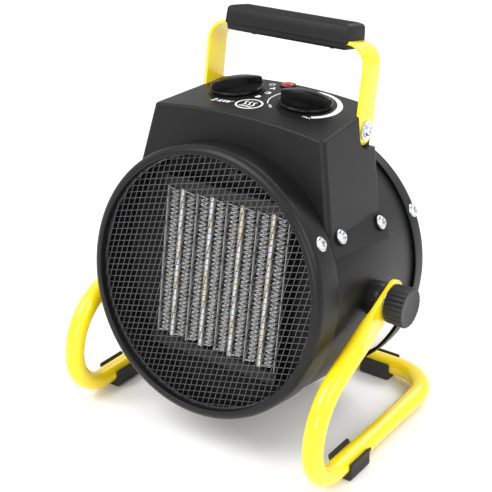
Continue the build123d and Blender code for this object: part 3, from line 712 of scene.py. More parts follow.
class PointTree(NodeTree):
    """A geometry node tree with named inputs, run on a mesh and turned into a plain mesh."""

    def __init__(self, name, inputs):
        tree = bpy.data.node_groups.new(name, "GeometryNodeTree")
        super().__init__(tree)
        tree.interface.new_socket("Geometry", in_out="INPUT", socket_type="NodeSocketGeometry")
        tree.interface.new_socket("Geometry", in_out="OUTPUT", socket_type="NodeSocketGeometry")
        self.values = dict(inputs)
        for label, (kind, _) in inputs.items():
            tree.interface.new_socket(label, in_out="INPUT", socket_type="NodeSocket" + kind)
        self.start = self.add("NodeGroupInput")

    def given(self, label):
        """A named input as a field."""
        return Field(self, self.start.outputs[label])

    def end(self, geometry):
        """Realize the instances, set the material and give the result."""
        real = self.add("GeometryNodeRealizeInstances", None, {"Geometry": geometry})
        coated = self.add("GeometryNodeSetMaterial", None,
                          {"Geometry": real.outputs["Geometry"],
                           "Material": self.start.outputs["Material"]})
        self.add("NodeGroupOutput", None, {"Geometry": coated.outputs["Geometry"]})

    def run(self, mesh):
        """The plain mesh that the tree makes from a mesh."""
        carrier = bpy.data.objects.new(self.tree.name, mesh)
        bpy.context.scene.collection.objects.link(carrier)
        modifier = carrier.modifiers.new("Nodes", "NODES")
        modifier.node_group = self.tree
        for item in self.tree.interface.items_tree:
            if item.in_out == "INPUT" and item.name in self.values:
                modifier[item.identifier] = self.values[item.name][1]
        carrier.update_tag()
        graph = bpy.context.evaluated_depsgraph_get()
        made = bpy.data.meshes.new_from_object(carrier.evaluated_get(graph))
        carrier.modifiers.remove(modifier)
        bpy.data.objects.remove(carrier)
        return made


def points_mesh(points, facings):
    """A mesh of loose points that each carry a direction."""
    mesh = bpy.data.meshes.new("points")
    mesh.from_pydata(points, [], [])
    facing = mesh.attributes.new("facing", "FLOAT_VECTOR", "POINT")
    for index, direction in enumerate(facings):
        facing.data[index].vector = direction
    return mesh


def hidden_source(mesh):
    """An object that a node tree copies and that isn't part of the model."""
    source = bpy.data.objects.new("source", mesh)
    bpy.context.scene.collection.objects.link(source)
    return source


def spread(name, source, points, facings, material, seed=1, spin=pi):
    """Copies of a source mesh on points, facing outwards, each turned by a seeded random spin."""
    copy = hidden_source(source)
    tree = PointTree(name, {
        "Copy": ("Object", copy),
        "Spin": ("Float", spin),
        "Seed": ("Int", seed),
        "Material": ("Material", material),
    })
    facing = tree.add("GeometryNodeInputNamedAttribute", {"data_type": "FLOAT_VECTOR"},
                      {"Name": "facing"})
    align = tree.add("FunctionNodeAlignRotationToVector", {"axis": "Z"},
                     {"Vector": facing.outputs["Attribute"]})
    turn = tree.add("FunctionNodeRandomValue", {"data_type": "FLOAT"},
                    {"Seed": tree.given("Seed"), 2: -1.0, 3: 1.0})
    angle = Field(tree, turn.outputs[1]) * tree.given("Spin")
    spun = tree.add("FunctionNodeAxisAngleToRotation", None, {"Axis": (0, 0, 1), "Angle": angle})
    turned = tree.add("FunctionNodeRotateRotation", {"rotation_space": "LOCAL"},
                      {"Rotation": align.outputs["Rotation"], "Rotate By": spun.outputs["Rotation"]})
    shape = tree.add("GeometryNodeObjectInfo", {"transform_space": "ORIGINAL"},
                     {"Object": tree.start.outputs["Copy"], "As Instance": True})
    placed = tree.add("GeometryNodeInstanceOnPoints", None,
                      {"Points": tree.start.outputs["Geometry"],
                       "Instance": shape.outputs["Geometry"],
                       "Rotation": turned.outputs["Rotation"]})
    tree.end(placed.outputs["Instances"])
    made = tree.run(points_mesh(points, facings))
    bpy.data.objects.remove(copy)
    return made


# ---------------------------------------------------------------- drum

def ring_profile(sizes, face, skirt):
    """Half section of a pressed end ring, with its face towards -Y."""
    outer = sizes.ring_radius
    inner = sizes.ring_inner
    wall = sizes.ring_wall
    lip = face - 5.5 * MM
    edge = sizes.ring_round
    corners = [
        (outer, -skirt), (outer, -face), (inner, -face), (inner, -lip),
        (inner + wall, -lip), (inner + wall, wall - face), (outer - wall, wall - face),
        (outer - wall, -skirt),
    ]
    radii = [0.5 * MM, edge, 1.4 * MM, 0.5 * MM, 0.5 * MM, 0.3 * MM, edge - wall, 0.5 * MM]
    return rounded(corners, radii, 8)


class HEATER_OT_drum(bpy.types.Operator):
    """Build the rolled drum and its two pressed end rings"""
    bl_idname = "heater.drum"
    bl_label = "Drum and rings"

    def execute(self, context):
        sizes = context.scene.heater_drum
        wall = 1.0 * MM
        outer = sizes.drum_radius
        half = sizes.drum_half
        shell = rounded([(outer, -half), (outer, half), (outer - wall, half), (outer - wall, -half)],
                        0.3 * MM, 2)
        piece("drum_sheet", mesh_from(*revolved(shell, 192), HEATER), drum_coat(), "heater",
              ["drum_shell"])
        front = ring_profile(sizes, sizes.front_face, sizes.front_skirt)
        piece("bezel_ring", mesh_from(*revolved(front, 192), HEATER), drum_coat(), "heater",
              ["front_bezel"])
        rear = ring_profile(sizes, sizes.rear_face, sizes.rear_skirt)
        turned = HEATER @ Matrix.Rotation(pi, 4, "Z")
        piece("back_ring", mesh_from(*revolved(rear, 192), turned), drum_coat(), "heater",
              ["rear_ring"])
        return {"FINISHED"}


# ---------------------------------------------------------------- grilles

def wire_layer(name, sizes, upright):
    """One layer of straight parallel wires that fill a disc in the XZ plane."""
    tree = PointTree(name, {
        "Pitch": ("Float", sizes.mesh_pitch),
        "Disc radius": ("Float", sizes.mesh_radius),
        "Wire radius": ("Float", sizes.wire_thickness / 2),
        "Sides": ("Int", 8),
        "Material": ("Material", None),
    })
    pitch = tree.given("Pitch")
    disc = tree.given("Disc radius")
    count = (disc / pitch).floor()
    line = tree.add("GeometryNodeMeshLine", {"mode": "OFFSET"},
                    {"Count": count * 2.0 + 1.0, "Start Location": (0, 0, 0),
                     "Offset": (0, 0, 0)})
    index = tree.field("GeometryNodeInputIndex", "Index")
    offset = (index - count) * pitch
    reach = (disc * disc - offset * offset).root() - 0.0006
    spot = tree.add("ShaderNodeCombineXYZ", None,
                    {"X": offset} if upright else {"Z": offset})
    placed = tree.add("GeometryNodeSetPosition", None,
                      {"Geometry": line.outputs["Mesh"], "Position": spot.outputs["Vector"]})
    ends = ((0, 0, -1), (0, 0, 1)) if upright else ((-1, 0, 0), (1, 0, 0))
    wire = tree.add("GeometryNodeCurvePrimitiveLine", {"mode": "POINTS"},
                    {"Start": ends[0], "End": ends[1]})
    size = tree.add("ShaderNodeCombineXYZ", None, {"X": reach, "Y": reach, "Z": reach})
    wires = tree.add("GeometryNodeInstanceOnPoints", None,
                     {"Points": placed.outputs["Geometry"], "Instance": wire.outputs["Curve"],
                      "Scale": size.outputs["Vector"]})
    real = tree.add("GeometryNodeRealizeInstances", None, {"Geometry": wires.outputs["Instances"]})
    ring = tree.add("GeometryNodeCurvePrimitiveCircle", {"mode": "RADIUS"},
                    {"Resolution": tree.given("Sides"), "Radius": tree.given("Wire radius")})
    tube = tree.add("GeometryNodeCurveToMesh", None,
                    {"Curve": real.outputs["Geometry"], "Profile Curve": ring.outputs["Curve"],
                     "Fill Caps": True})
    tree.end(tube.outputs["Mesh"])
    mesh = tree.run(points_mesh([(0, 0, 0)], [(0, 0, 1)]))
    model = bmesh.new()
    model.from_mesh(mesh)
    bmesh.ops.recalc_face_normals(model, faces=model.faces)
    model.to_mesh(mesh)
    model.free()
    return mesh


def grille_mesh(sizes, name, place):
    """Two crossed layers of wire, welded where they cross, on a flat rim."""
    meshes = []
    layers = (
        ("_uprights", True, sizes.upright_lean, 0.0),
        ("_levels", False, -sizes.level_rise, sizes.wire_thickness * 0.9),
    )
    for label, upright, turn, depth in layers:
        layer = wire_layer(name + label, sizes, upright)
        layer.transform(place @ Matrix.Translation((0, depth, 0)) @ Matrix.Rotation(turn, 4, "Y"))
        meshes.append(layer)
    rim_y = 1.6 * MM
    rim = rounded([(96.5 * MM, rim_y), (96.5 * MM, rim_y + 0.8 * MM), (92 * MM, rim_y + 0.8 * MM),
                   (92 * MM, rim_y)], 0.2 * MM, 2)
    meshes.append(mesh_from(*revolved(rim, 160), place))
    return joined(meshes)


class HEATER_OT_grilles(bpy.types.Operator):
    """Build the front and rear wire grilles"""
    bl_idname = "heater.grilles"
    bl_label = "Wire grilles"

    def execute(self, context):
        sizes = context.scene.heater_drum
        coat = finish_named("wire", grille_coat, tuple(colours().wire))
        front = HEATER @ Matrix.Translation((0, -72.2 * MM, 0))
        rear = HEATER @ Matrix.Rotation(pi, 4, "Z") @ Matrix.Translation((0, -69.9 * MM, 0))
        piece("front_wires", grille_mesh(sizes, "front", front), coat, "heater",
              ["front_grille"])
        piece("rear_wires", grille_mesh(sizes, "rear", rear), coat, "heater",
              ["rear_grille"])
        return {"FINISHED"}


# ---------------------------------------------------------------- screws

def screw_head(radius, height):
    """A domed washer head with a cross recess, standing on Z = 0."""
    model = bmesh.new()
    profile = [(1.0, 0.0), (1.0, 0.16), (0.96, 0.24), (0.80, 0.30), (0.76, 0.42), (0.73, 0.68),
               (0.66, 0.88), (0.55, 0.98), (0.48, 1.0)]
    segments = 36
    rings = []
    for share, high in profile:
        ring = []
        for index in range(segments):
            angle = 2 * pi * index / segments
            spot = (radius * share * cos(angle), radius * share * sin(angle), height * high)
            ring.append(model.verts.new(spot))
        rings.append(ring)
    for low, high in zip(rings, rings[1:]):
        for index in range(segments):
            after = (index + 1) % segments
            model.faces.new((low[index], low[after], high[after], high[index]))
    model.faces.new(rings[0])
    arm = radius * 0.40
    waist = radius * 0.10
    plus = [(arm, -waist), (arm, waist), (waist, waist), (waist, arm), (-waist, arm),
            (-waist, waist), (-arm, waist), (-arm, -waist), (-waist, -waist), (-waist, -arm),
            (waist, -arm), (waist, -waist)]
    top = [model.verts.new((across, up, height)) for across, up in plus]
    floor = [model.verts.new((across * 0.62, up * 0.62, height * 0.4)) for across, up in plus]
    edges = []
    for loop in (rings[-1], top):
        for index, vert in enumerate(loop):
            after = loop[(index + 1) % len(loop)]
            edges.append(model.edges.get((vert, after)) or model.edges.new((vert, after)))
    bmesh.ops.triangle_fill(model, edges=edges, use_beauty=True)
    for index in range(len(plus)):
        after = (index + 1) % len(plus)
        model.faces.new((top[index], top[after], floor[after], floor[index]))
    model.faces.new(floor)
    return finished(model)


def drum_place(angle, along, radius):
    """A place on the drum whose Z points outwards. The angle is from +X, in degrees."""
    turn = Matrix.Rotation(-radians(angle), 4, "Y")
    outwards = Matrix.Translation((radius, 0, 0)) @ Matrix.Rotation(pi / 2, 4, "Y")
    return HEATER @ Matrix.Translation((0, along, 0)) @ turn @ outwards


def add_screws(name, places, head, node, seed, body="heater"):
    """Screw heads on places, as one piece that stands for a node."""
    points = [place.translation for place in places]
    facings = [place.to_3x3() @ Vector((0, 0, 1)) for place in places]
    mesh = spread(name, screw_head(*head), points, facings, zinc(), seed)
    return piece(name, mesh, zinc(), body, [node])


class HEATER_OT_screws(bpy.types.Operator):
    """Put cross-head screws on the rings, the housing, the handle and the grip"""
    bl_idname = "heater.screws"
    bl_label = "Screws"

    def execute(self, context):
        head = (5.2 * MM, 2.5 * MM)
        around = (30, 150, 270)
        front = [drum_place(angle, -64 * MM, 100 * MM) for angle in around]
        add_screws("ring_screw_heads_front", front, head, "front_bezel_screws", 3)
        rear = [drum_place(angle, 68 * MM, 100 * MM) for angle in around]
        add_screws("ring_screw_heads_rear", rear, head, "rear_ring_screws", 5)
        sides = [drum_place(angle, along, 101.0 * MM)
                 for along in (-38.8 * MM, 17.0 * MM) for angle in (30, 150)]
        add_screws("housing_screw_heads", sides, head, "housing_screws", 7)
        arms = [drum_place(angle, 54.5 * MM, 98 * MM) for angle in (65, 185, 305)]
        add_screws("bracket_screw_heads", arms, (4.2 * MM, 2.0 * MM), "bracket_screws", 9)
        under = [HEATER @ Matrix.Translation((across * MM, 11.5 * MM, 169 * MM))
                 @ Matrix.Rotation(pi, 4, "X") for across in (-34, 34)]
        add_screws("grip_screw_heads", under, (3.0 * MM, 1.8 * MM), "grip_screws", 11)
        bolts = [HEATER @ Matrix.Translation((sign * 69.6 * MM, 11.5 * MM, 115 * MM))
                 @ Matrix.Rotation(sign * pi / 2, 4, "Y") for _, sign in SIDES]
        add_screws("handle_bolt_heads", bolts, (4.9 * MM, 3.2 * MM), "handle_bolts", 13)
        return {"FINISHED"}


# ---------------------------------------------------------------- control housing and its prints

TOP_SLOPE = radians(10.5)


def top_place():
    """The front middle of the housing's crowned top, with Y along its slope."""
    front = Matrix.Translation((0, -52.6 * MM, 120.5 * MM))
    return HEATER @ front @ Matrix.Rotation(TOP_SLOPE, 4, "X")


def on_top(context, across, along):
    """A place on the crowned top whose Z is square to it."""
    crown = context.scene.heater_controls.crown_radius
    spot = Matrix.Translation((across, along, -across**2 / (2 * crown)))
    return top_place() @ spot @ Matrix.Rotation(across / crown, 4, "Y")


class Prints:
    """Ink marks laid on the crowned top, gathered into one mesh."""

    def __init__(self, sizes):
        self.crown = sizes.crown_radius
        self.thick = sizes.print_height
        self.model = bmesh.new()

    def lay(self, loops):
        """Ink inside the first loop and outside any others, given as (across, along)."""
        sheet = bmesh.new()
        edges = []
        for loop in loops:
            verts = [sheet.verts.new((across, along, 0)) for across, along in loop]
            for index, vert in enumerate(verts):
                edges.append(sheet.edges.new((vert, verts[(index + 1) % len(verts)])))
        bmesh.ops.triangle_fill(sheet, edges=edges, use_beauty=True)
        self.raise_ink(sheet)

    def raise_ink(self, sheet):
        """Give a flat sheet its thickness and bend it onto the crown."""
        body = bmesh.ops.extrude_face_region(sheet, geom=sheet.faces[:] + sheet.edges[:])
        raised = [item for item in body["geom"] if isinstance(item, bmesh.types.BMVert)]
        for vert in raised:
            vert.co.z = self.thick
        bmesh.ops.recalc_face_normals(sheet, faces=sheet.faces)
        for vert in sheet.verts:
            vert.co.z += -vert.co.x**2 / (2 * self.crown)
        mesh = bpy.data.meshes.new("ink")
        sheet.to_mesh(mesh)
        sheet.free()
        self.model.from_mesh(mesh)
        bpy.data.meshes.remove(mesh)

    def word(self, text, width, across, along, turn=0.0, slant=0.0, bold=0.0):
        """A generic dial word of a width."""
        curve = bpy.data.curves.new("word", "FONT")
        curve.body = text
        curve.size = 0.01
        curve.shear = slant
        curve.offset = bold
        curve.align_x = "CENTER"
        curve.align_y = "CENTER"
        curve.resolution_u = 3
        holder = bpy.data.objects.new("word", curve)
        bpy.context.scene.collection.objects.link(holder)
        graph = bpy.context.evaluated_depsgraph_get()
        mesh = bpy.data.meshes.new_from_object(holder.evaluated_get(graph))
        bpy.data.objects.remove(holder)
        reach = [vert.co.x for vert in mesh.vertices]
        size = width / (max(reach) - min(reach))
        mesh.transform(Matrix.Translation((across, along, 0)) @ Matrix.Rotation(turn, 4, "Z")
                       @ Matrix.Scale(size, 4))
        sheet = bmesh.new()
        sheet.from_mesh(mesh)
        bpy.data.meshes.remove(mesh)
        bmesh.ops.remove_doubles(sheet, verts=sheet.verts, dist=1e-6)
        self.raise_ink(sheet)

    def result(self, place):
        """All the marks as one mesh, set on the housing."""
        mesh = bpy.data.meshes.new("prints")
        self.model.to_mesh(mesh)
        self.model.free()
        mesh.transform(place)
        return mesh


def circle(across, along, radius, count=40, start=0.0, sweep=2 * pi):
    """Points round a circle or along an arc of it."""
    steps = count if sweep < 2 * pi else count - 1
    points = []
    for index in range(count):
        angle = start + sweep * index / steps if sweep < 2 * pi else 2 * pi * index / count
        points.append((across + radius * cos(angle), along + radius * sin(angle)))
    return points


def crescent(across, along, radius, thin, thick, start, sweep, count=60):
    """An arc that swells from thin to thick."""
    outer = []
    inner = []
    for index in range(count + 1):
        share = index / count
        angle = start + sweep * share
        width = thin + (thick - thin) * min(1.0, share / 0.75)**1.8
        outer.append((across + (radius + width / 2) * cos(angle),
                      along + (radius + width / 2) * sin(angle)))
        inner.append((across + (radius - width / 2) * cos(angle),
                      along + (radius - width / 2) * sin(angle)))
    return outer + inner[::-1]


def bar(x0, y0, x1, y1, width):
    """A straight stroke with square ends."""
    along = Vector((x1 - x0, y1 - y0)).normalized() * width / 2
    side = Vector((-along.y, along.x))
    return [(x0 - side.x, y0 - side.y), (x1 - side.x, y1 - side.y),
            (x1 + side.x, y1 + side.y), (x0 + side.x, y0 + side.y)]


def heat_wave(across, along, height, width):
    """An upright wavy stroke, the usual sign for warm air."""
    left = []
    right = []
    for index in range(17):
        share = index / 16
        sway = 0.9 * MM * sin(2 * pi * share)
        up = along + (share - 0.5) * height
        left.append((across + sway - width / 2, up))
        right.append((across + sway + width / 2, up))
    return right + left[::-1]


def mode_marks(ink):
    """The selector's four marks: full heat, half heat, fan only and off."""
    size = 2.4 * MM
    ink.lay([circle(-8.7 * MM, 39.6 * MM, size)])
    half = (-6.9 * MM, 50.1 * MM)
    ink.lay([circle(*half, size), circle(*half, size - 0.5 * MM)])
    ink.lay([circle(*half, size - 0.45 * MM, 20, -pi / 2, pi)])
    blower = (-9.4 * MM, 60.3 * MM)
    ink.lay([circle(*blower, 0.55 * MM, 12)])
    for blade in range(3):
        angle = radians(90 + 120 * blade)
        centre = (blower[0] + 1.5 * MM * cos(angle), blower[1] + 1.5 * MM * sin(angle))
        ink.lay([circle(*centre, 0.95 * MM, 16)])
    off = (-15.2 * MM, 67.9 * MM)
    ink.lay([circle(*off, size), circle(*off, size - 0.7 * MM)])


def heat_sign(ink):
    """A round sign with three waves of warm air over a line."""
    across = -4.2 * MM
    along = 22.5 * MM
    ink.lay([circle(across, along, 10.2 * MM, 56), circle(across, along, 8.8 * MM, 56)])
    for shift in (-3.6, 0.0, 3.6):
        ink.lay([heat_wave(across + shift * MM, along + 0.8 * MM, 8.4 * MM, 1.3 * MM)])
    low = along - 5.2 * MM
    ink.lay([bar(across - 5.2 * MM, low, across + 5.2 * MM, low, 1.2 * MM)])


def lay_prints(sizes):
    """All the marks on the housing's top."""
    ink = Prints(sizes)
    mode_marks(ink)
    heat_sign(ink)
    dial = (26.5 * MM, 46.5 * MM)
    ink.lay([crescent(*dial, 25.8 * MM, 0.8 * MM, 4.2 * MM, radians(217), radians(-263))])
    ink.word("2 kW", 18.5 * MM, -26.6 * MM, 19.3 * MM, slant=0.3, bold=0.00035)
    ink.word("MIN", 5.6 * MM, 10.6 * MM, 27.2 * MM, radians(-48), bold=0.0002)
    ink.word("MAX", 6.3 * MM, 42.4 * MM, 25.3 * MM, bold=0.0002)
    return ink.result(top_place())


class HEATER_OT_housing(bpy.types.Operator):
    """Finish the control housing and print its dial marks"""
    bl_idname = "heater.housing"
    bl_label = "Control housing"

    def execute(self, context):
        frame["nodes"]["control_housing"].data.materials[0] = housing_plastic()
        ink = finish_named("ink", print_ink)
        piece("dial_prints", lay_prints(context.scene.heater_controls), ink, "heater",
              smooth=None)
        lamp = finish_named("lamp", lamp_lens, tuple(colours().lamp))
        sizes = context.scene.heater_controls
        place = on_top(context, sizes.lamp_x, sizes.lamp_along)
        profile = [(0, 2.3), (1.6, 2.25), (3.0, 2.0), (4.0, 1.65), (4.6, 1.25), (4.7, 0.95), (3.7, 0.9),
                   (3.7, -4.8), (0, -4.8)]
        upright = place @ Matrix.Rotation(pi / 2, 4, "X")
        lens = mesh_from(*revolved([(r * MM, y * MM) for r, y in profile], 64, False), upright)
        piece("lamp_dome", lens, lamp, "heater", ["power_lamp"])
        return {"FINISHED"}


# ---------------------------------------------------------------- knobs

def bar_section(sizes, share):
    """Outline across a knob's bar, at a share of the way from its middle to its end."""
    radius = sizes.knob_radius - 0.15 * MM
    ease = 0.9 * MM
    inside = ease - min(ease, radius * (1 - abs(share)))
    drop = ease - sqrt(ease**2 - inside**2)
    half = sizes.bar_end / 2 + (sizes.bar_width - sizes.bar_end) / 2 * (1 - share**2)
    half -= drop
    high = sizes.bar_height - sizes.bar_sag * share**2 - drop
    right = [(half + 0.35 * MM, 0.4 * MM), (half, sizes.knob_base + 0.2 * MM)]
    for step in range(7):
        angle = pi / 2 * step / 6
        right.append((half - 0.25 * MM - ease * (1 - cos(angle)), high - ease * (1 - sin(angle))))
    right.append((0.0, high + 0.12 * MM))
    outline = right + [(-across, up) for across, up in reversed(right[:-1])]
    return [(share * sqrt(radius**2 - across**2), across, up) for across, up in outline]


def knob_mesh(sizes, place, point):
    """A round knob: disc with a rolled edge and a bowed bar across it."""
    radius = sizes.knob_radius
    base = sizes.knob_base
    disc = [(0, 0), (radius - 0.9 * MM, 0), (radius - 0.2 * MM, 0.2 * MM), (radius, 0.7 * MM),
            (radius, base - 1.0 * MM), (radius - 0.25 * MM, base - 0.4 * MM),
            (radius - 0.9 * MM, base), (radius - 1.7 * MM, base - 0.05 * MM),
            (radius - 2.4 * MM, base - 0.35 * MM), (radius * 0.6, base - 0.4 * MM),
            (0, base - 0.4 * MM)]
    upright = place @ Matrix.Rotation(pi / 2, 4, "X")
    plate = mesh_from(*revolved(disc, 96, False), upright)
    shares = [-sin(pi / 2 * (1 - index / 20)) for index in range(20)]
    shares += [0.0] + [-share for share in reversed(shares)]
    turned = place @ Matrix.Rotation(radians(point), 4, "Z")
    handle = mesh_from(*stacked([bar_section(sizes, share) for share in shares]), turned)
    return joined([plate, handle])


class HEATER_OT_knobs(bpy.types.Operator):
    """Build the selector and thermostat knobs"""
    bl_idname = "heater.knobs"
    bl_label = "Control knobs"

    def execute(self, context):
        sizes = context.scene.heater_controls
        gloss = finish_named("knob", knob_gloss, tuple(colours().knob))
        knobs = (("selector", sizes.selector_x, 52), ("thermostat", sizes.thermostat_x, 187))
        for name, across, point in knobs:
            lift = Matrix.Translation((0, 0, sizes.knob_lift))
            place = on_top(context, across, sizes.knob_along) @ lift
            piece(name + "_dial", knob_mesh(sizes, place, point), gloss, name,
                  [name + "_knob"])
        return {"FINISHED"}


# ---------------------------------------------------------------- handle

def strap_section(done, left):
    """Outline of the handle's flat bar, rounded off round the bolts at both ends."""
    half_w = 11.0 * MM
    half_t = 1.25 * MM
    near = min(done, left)
    if near < half_w:
        half_w = sqrt(max(0.0, half_w**2 - (half_w - near)**2)) + 0.05 * MM
    corner = min(0.55 * MM, half_w * 0.9)
    square = [(half_t, -half_w), (half_t, half_w), (-half_t, half_w), (-half_t, -half_w)]
    return rounded(square, corner, 3)


def ribbed_top(place):
    """Fine ribs across the top of the grip."""
    levels = ((-0.5, 0.45, 9.6), (0.0, 0.45, 9.6), (0.5, 0.25, 9.3))
    loops = []
    for high, across, along in levels:
        corners = ((-across, -along), (across, -along), (across, along), (-across, along))
        loops.append([(x * MM, y * MM, high * MM) for x, y in corners])
    rib = mesh_from(*stacked(loops))
    spots = [Vector(((index - 21) * 2.25 * MM, 0, 0)) for index in range(43)]
    facings = [Vector((0, 0, 1))] * len(spots)
    mesh = spread("grip_ribs", rib, spots, facings, grip_plastic(), 1, 0.0)
    mesh.transform(place)
    return mesh


def grip_plastic():
    """Grained black moulding of the grip."""
    return finish_named("grip", moulded_plastic, "grip_moulded", tuple(colours().housing),
                        roughness=0.48, spark=0.7, depth=0.035)


def grip_shell(half_length, half_width, levels, place):
    """Half a grip as stacked rounded rectangles. Each level is (height, inset)."""
    loops = []
    for high, inset in levels:
        across = half_length - inset * MM
        deep = half_width - inset * MM
        corners = [(-across, -deep), (across, -deep), (across, deep), (-across, deep)]
        outline = rounded(corners, max(0.4, 2.0 - inset * 0.4) * MM, 4)
        loops.append([(x, y, high * MM) for x, y in outline])
    return mesh_from(*stacked(loops), place)


class HEATER_OT_handle(bpy.types.Operator):
    """Build the strap handle and its two-part grip"""
    bl_idname = "heater.handle"
    bl_label = "Handle"

    def execute(self, context):
        outer = 68.2 * MM - 1.25 * MM
        top = 175.5 * MM - 1.25 * MM
        low = 104.0 * MM
        middle_y = 11.5 * MM
        corners = [(outer, middle_y, low), (outer, middle_y, top), (-outer, middle_y, top),
                   (-outer, middle_y, low)]
        bend = 16 * MM - 1.25 * MM
        route = filleted(corners, [bend, bend], radians(5))
        fine = divided(route[:2], 0.8 * MM)[:18] + route[1:-1] + divided(route[-2:], 0.8 * MM)[-18:]
        mesh = mesh_from(*swept(fine, strap_section, Vector((1, 0, 0))), HEATER)
        piece("handle_bar", mesh, yellow(), "heater", ["handle_strap"])
        place = HEATER @ Matrix.Translation((0, middle_y, 0))
        upper = [(173.9, 0.3), (174.2, 0.0), (180.0, 0.25), (184.6, 0.6), (186.2, 1.5), (187.0, 2.9)]
        shell = grip_shell(52.7 * MM, 13.0 * MM, upper, place)
        ribs = ribbed_top(place @ Matrix.Translation((0, 0, 187.0 * MM)))
        piece("grip_top_half", joined([shell, ribs]), grip_plastic(), "heater",
              ["grip_upper"])
        lower = [(173.7, 0.0), (171.5, 0.15), (170.0, 0.6), (169.2, 1.4), (169.0, 2.4)]
        shell = grip_shell(51.7 * MM, 12.0 * MM, lower, place)
        piece("grip_bottom_half", shell, grip_plastic(), "heater", ["grip_lower"])
        return {"FINISHED"}


# ---------------------------------------------------------------- clamps

def clamp_profile(sizes):
    """Levels of a clamp knob from its washer outwards: (height, radius share, rib depth)."""
    tall = sizes.clamp_length
    return [
        (0.0, 0.90, 0.0), (0.3 * MM, 0.945, 0.5), (1.0 * MM, 0.965, 1.0),
        (tall * 0.6, 0.985, 1.0), (tall - 1.2 * MM, 1.0, 1.0), (tall - 0.5 * MM, 0.992, 0.95),
        (tall - 0.1 * MM, 0.965, 0.75), (tall, 0.93, 0.5), (tall, 0.86, 0.0),
        (tall - 0.35 * MM, 0.74, 0.0), (tall - 0.35 * MM, 0.3, 0.0),
    ]


def clamp_mesh(sizes, place):
    """A ribbed hand knob with a slightly sunk face, its axis along Z."""
    ribs = sizes.clamp_ribs
    count = ribs * 8
    depth = 1.2 * MM
    loops = []
    for high, share, rib in clamp_profile(sizes):
        loop = []
        for index in range(count):
            angle = 2 * pi * index / count
            wave = abs(cos(ribs * angle / 2))**0.55
            radius = sizes.clamp_radius * share - depth * rib * (1 - wave)
            loop.append((radius * cos(angle), radius * sin(angle), high))
        loops.append(loop)
    return mesh_from(*stacked(loops), place)


class HEATER_OT_clamps(bpy.types.Operator):
    """Build the ribbed clamp knobs and the pivot bosses"""
    bl_idname = "heater.clamps"
    bl_label = "Pivot clamps"

    def execute(self, context):
        sizes = context.scene.heater_stand
        plastic = finish_named("clamp", moulded_plastic, "clamp_moulded", (0.018, 0.018, 0.019),
                               roughness=0.36, spark=0.8, depth=0.03)
        boss_gloss = finish_named("boss", moulded_plastic, "boss_moulded", (0.014, 0.014, 0.015),
                                  roughness=0.26, spark=0.8, depth=0.015)
        for side, sign in SIDES:
            low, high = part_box("clamp_washer_" + side)
            start = high.x if sign > 0 else -low.x
            outward = Matrix.Translation(PIVOT) @ Matrix.Rotation(sign * pi / 2, 4, "Y")
            place = outward @ Matrix.Translation((0, 0, start + 0.03 * MM))
            piece("clamp_grip_" + side, clamp_mesh(sizes, place), plastic, "clamp_" + side,
                  ["clamp_knob_" + side])
            boss = [(4.1, 90), (4.1, 107.0), (12.2, 107.0), (12.8, 106.6), (13.0, 105.9),
                    (13.0, 96.0), (9, 90)]
            turned = outward @ Matrix.Rotation(pi / 2, 4, "X")
            profile = [(radius * MM, along * MM) for radius, along in boss]
            mesh = mesh_from(*revolved(profile, 72), turned)
            piece("pivot_boss_" + side, mesh, boss_gloss, "heater",
                  ["pivot_spacer_" + side])
        return {"FINISHED"}


# ---------------------------------------------------------------- stand

LEG_ANGLE = radians(25)
FLAT_FROM = 20 * MM
ROUND_FROM = 52 * MM
END_PAST = 18.5 * MM


class HEATER_OT_stand(bpy.types.Operator):
    """Build the bent tube stand with its pressed ends"""
    bl_idname = "heater.stand"
    bl_label = "Tube stand"

    def execute(self, context):
        sizes = context.scene.heater_stand
        radius = sizes.tube_radius
        flat = sizes.flat_thickness / 2
        wide = sizes.flat_width / 2

        def section(done, left):
            """Outline of the tube: round, pressed between two flats, or rounded off at its end."""
            below = min(done, left) - END_PAST
            share = (below - FLAT_FROM) / (ROUND_FROM - FLAT_FROM)
            share = min(1.0, max(0.0, share))
            smooth = share * share * (3 - 2 * share)
            limit = flat + (radius * 1.02 - flat) * share
            width = wide + (radius - wide) * smooth
            past = -below - (END_PAST - wide)
            if past > 0:
                width = sqrt(max(0.0, wide**2 - past**2)) + 0.1 * MM
            points = []
            for index in range(56):
                angle = 2 * pi * index / 56
                across = radius * cos(angle)
                up = width * sin(angle)
                across = max(-limit, min(limit, across))
                points.append((across, up))
            return points

        side_x = sizes.side_x
        down = PIVOT.y - sizes.front_y
        start = Vector((side_x, PIVOT.y + END_PAST * cos(LEG_ANGLE),
                        PIVOT.z + END_PAST * sin(LEG_ANGLE)))
        corner_z = PIVOT.z - down * sin(LEG_ANGLE) / cos(LEG_ANGLE)
        right = [start, Vector((side_x, sizes.front_y, corner_z)),
                 Vector((side_x, sizes.front_y, sizes.tube_z)),
                 Vector((side_x, sizes.rear_y, sizes.tube_z))]
        left = [Vector((-point.x, point.y, point.z)) for point in reversed(right)]
        bends = [sizes.front_bend, sizes.floor_bend, sizes.rear_bend]
        route = filleted(right + left, bends + bends[::-1], radians(4))
        ends = divided(route[:2], 1.0 * MM)
        tail = divided(route[-2:], 1.0 * MM)
        fine = ends + route[2:-2] + tail
        mesh = mesh_from(*swept(fine, section, Vector((1, 0, 0))))
        piece("stand_bent_tube", mesh, yellow(), "stand", ["stand_tube"],
              smooth=radians(30))
        return {"FINISHED"}


# ---------------------------------------------------------------- feet

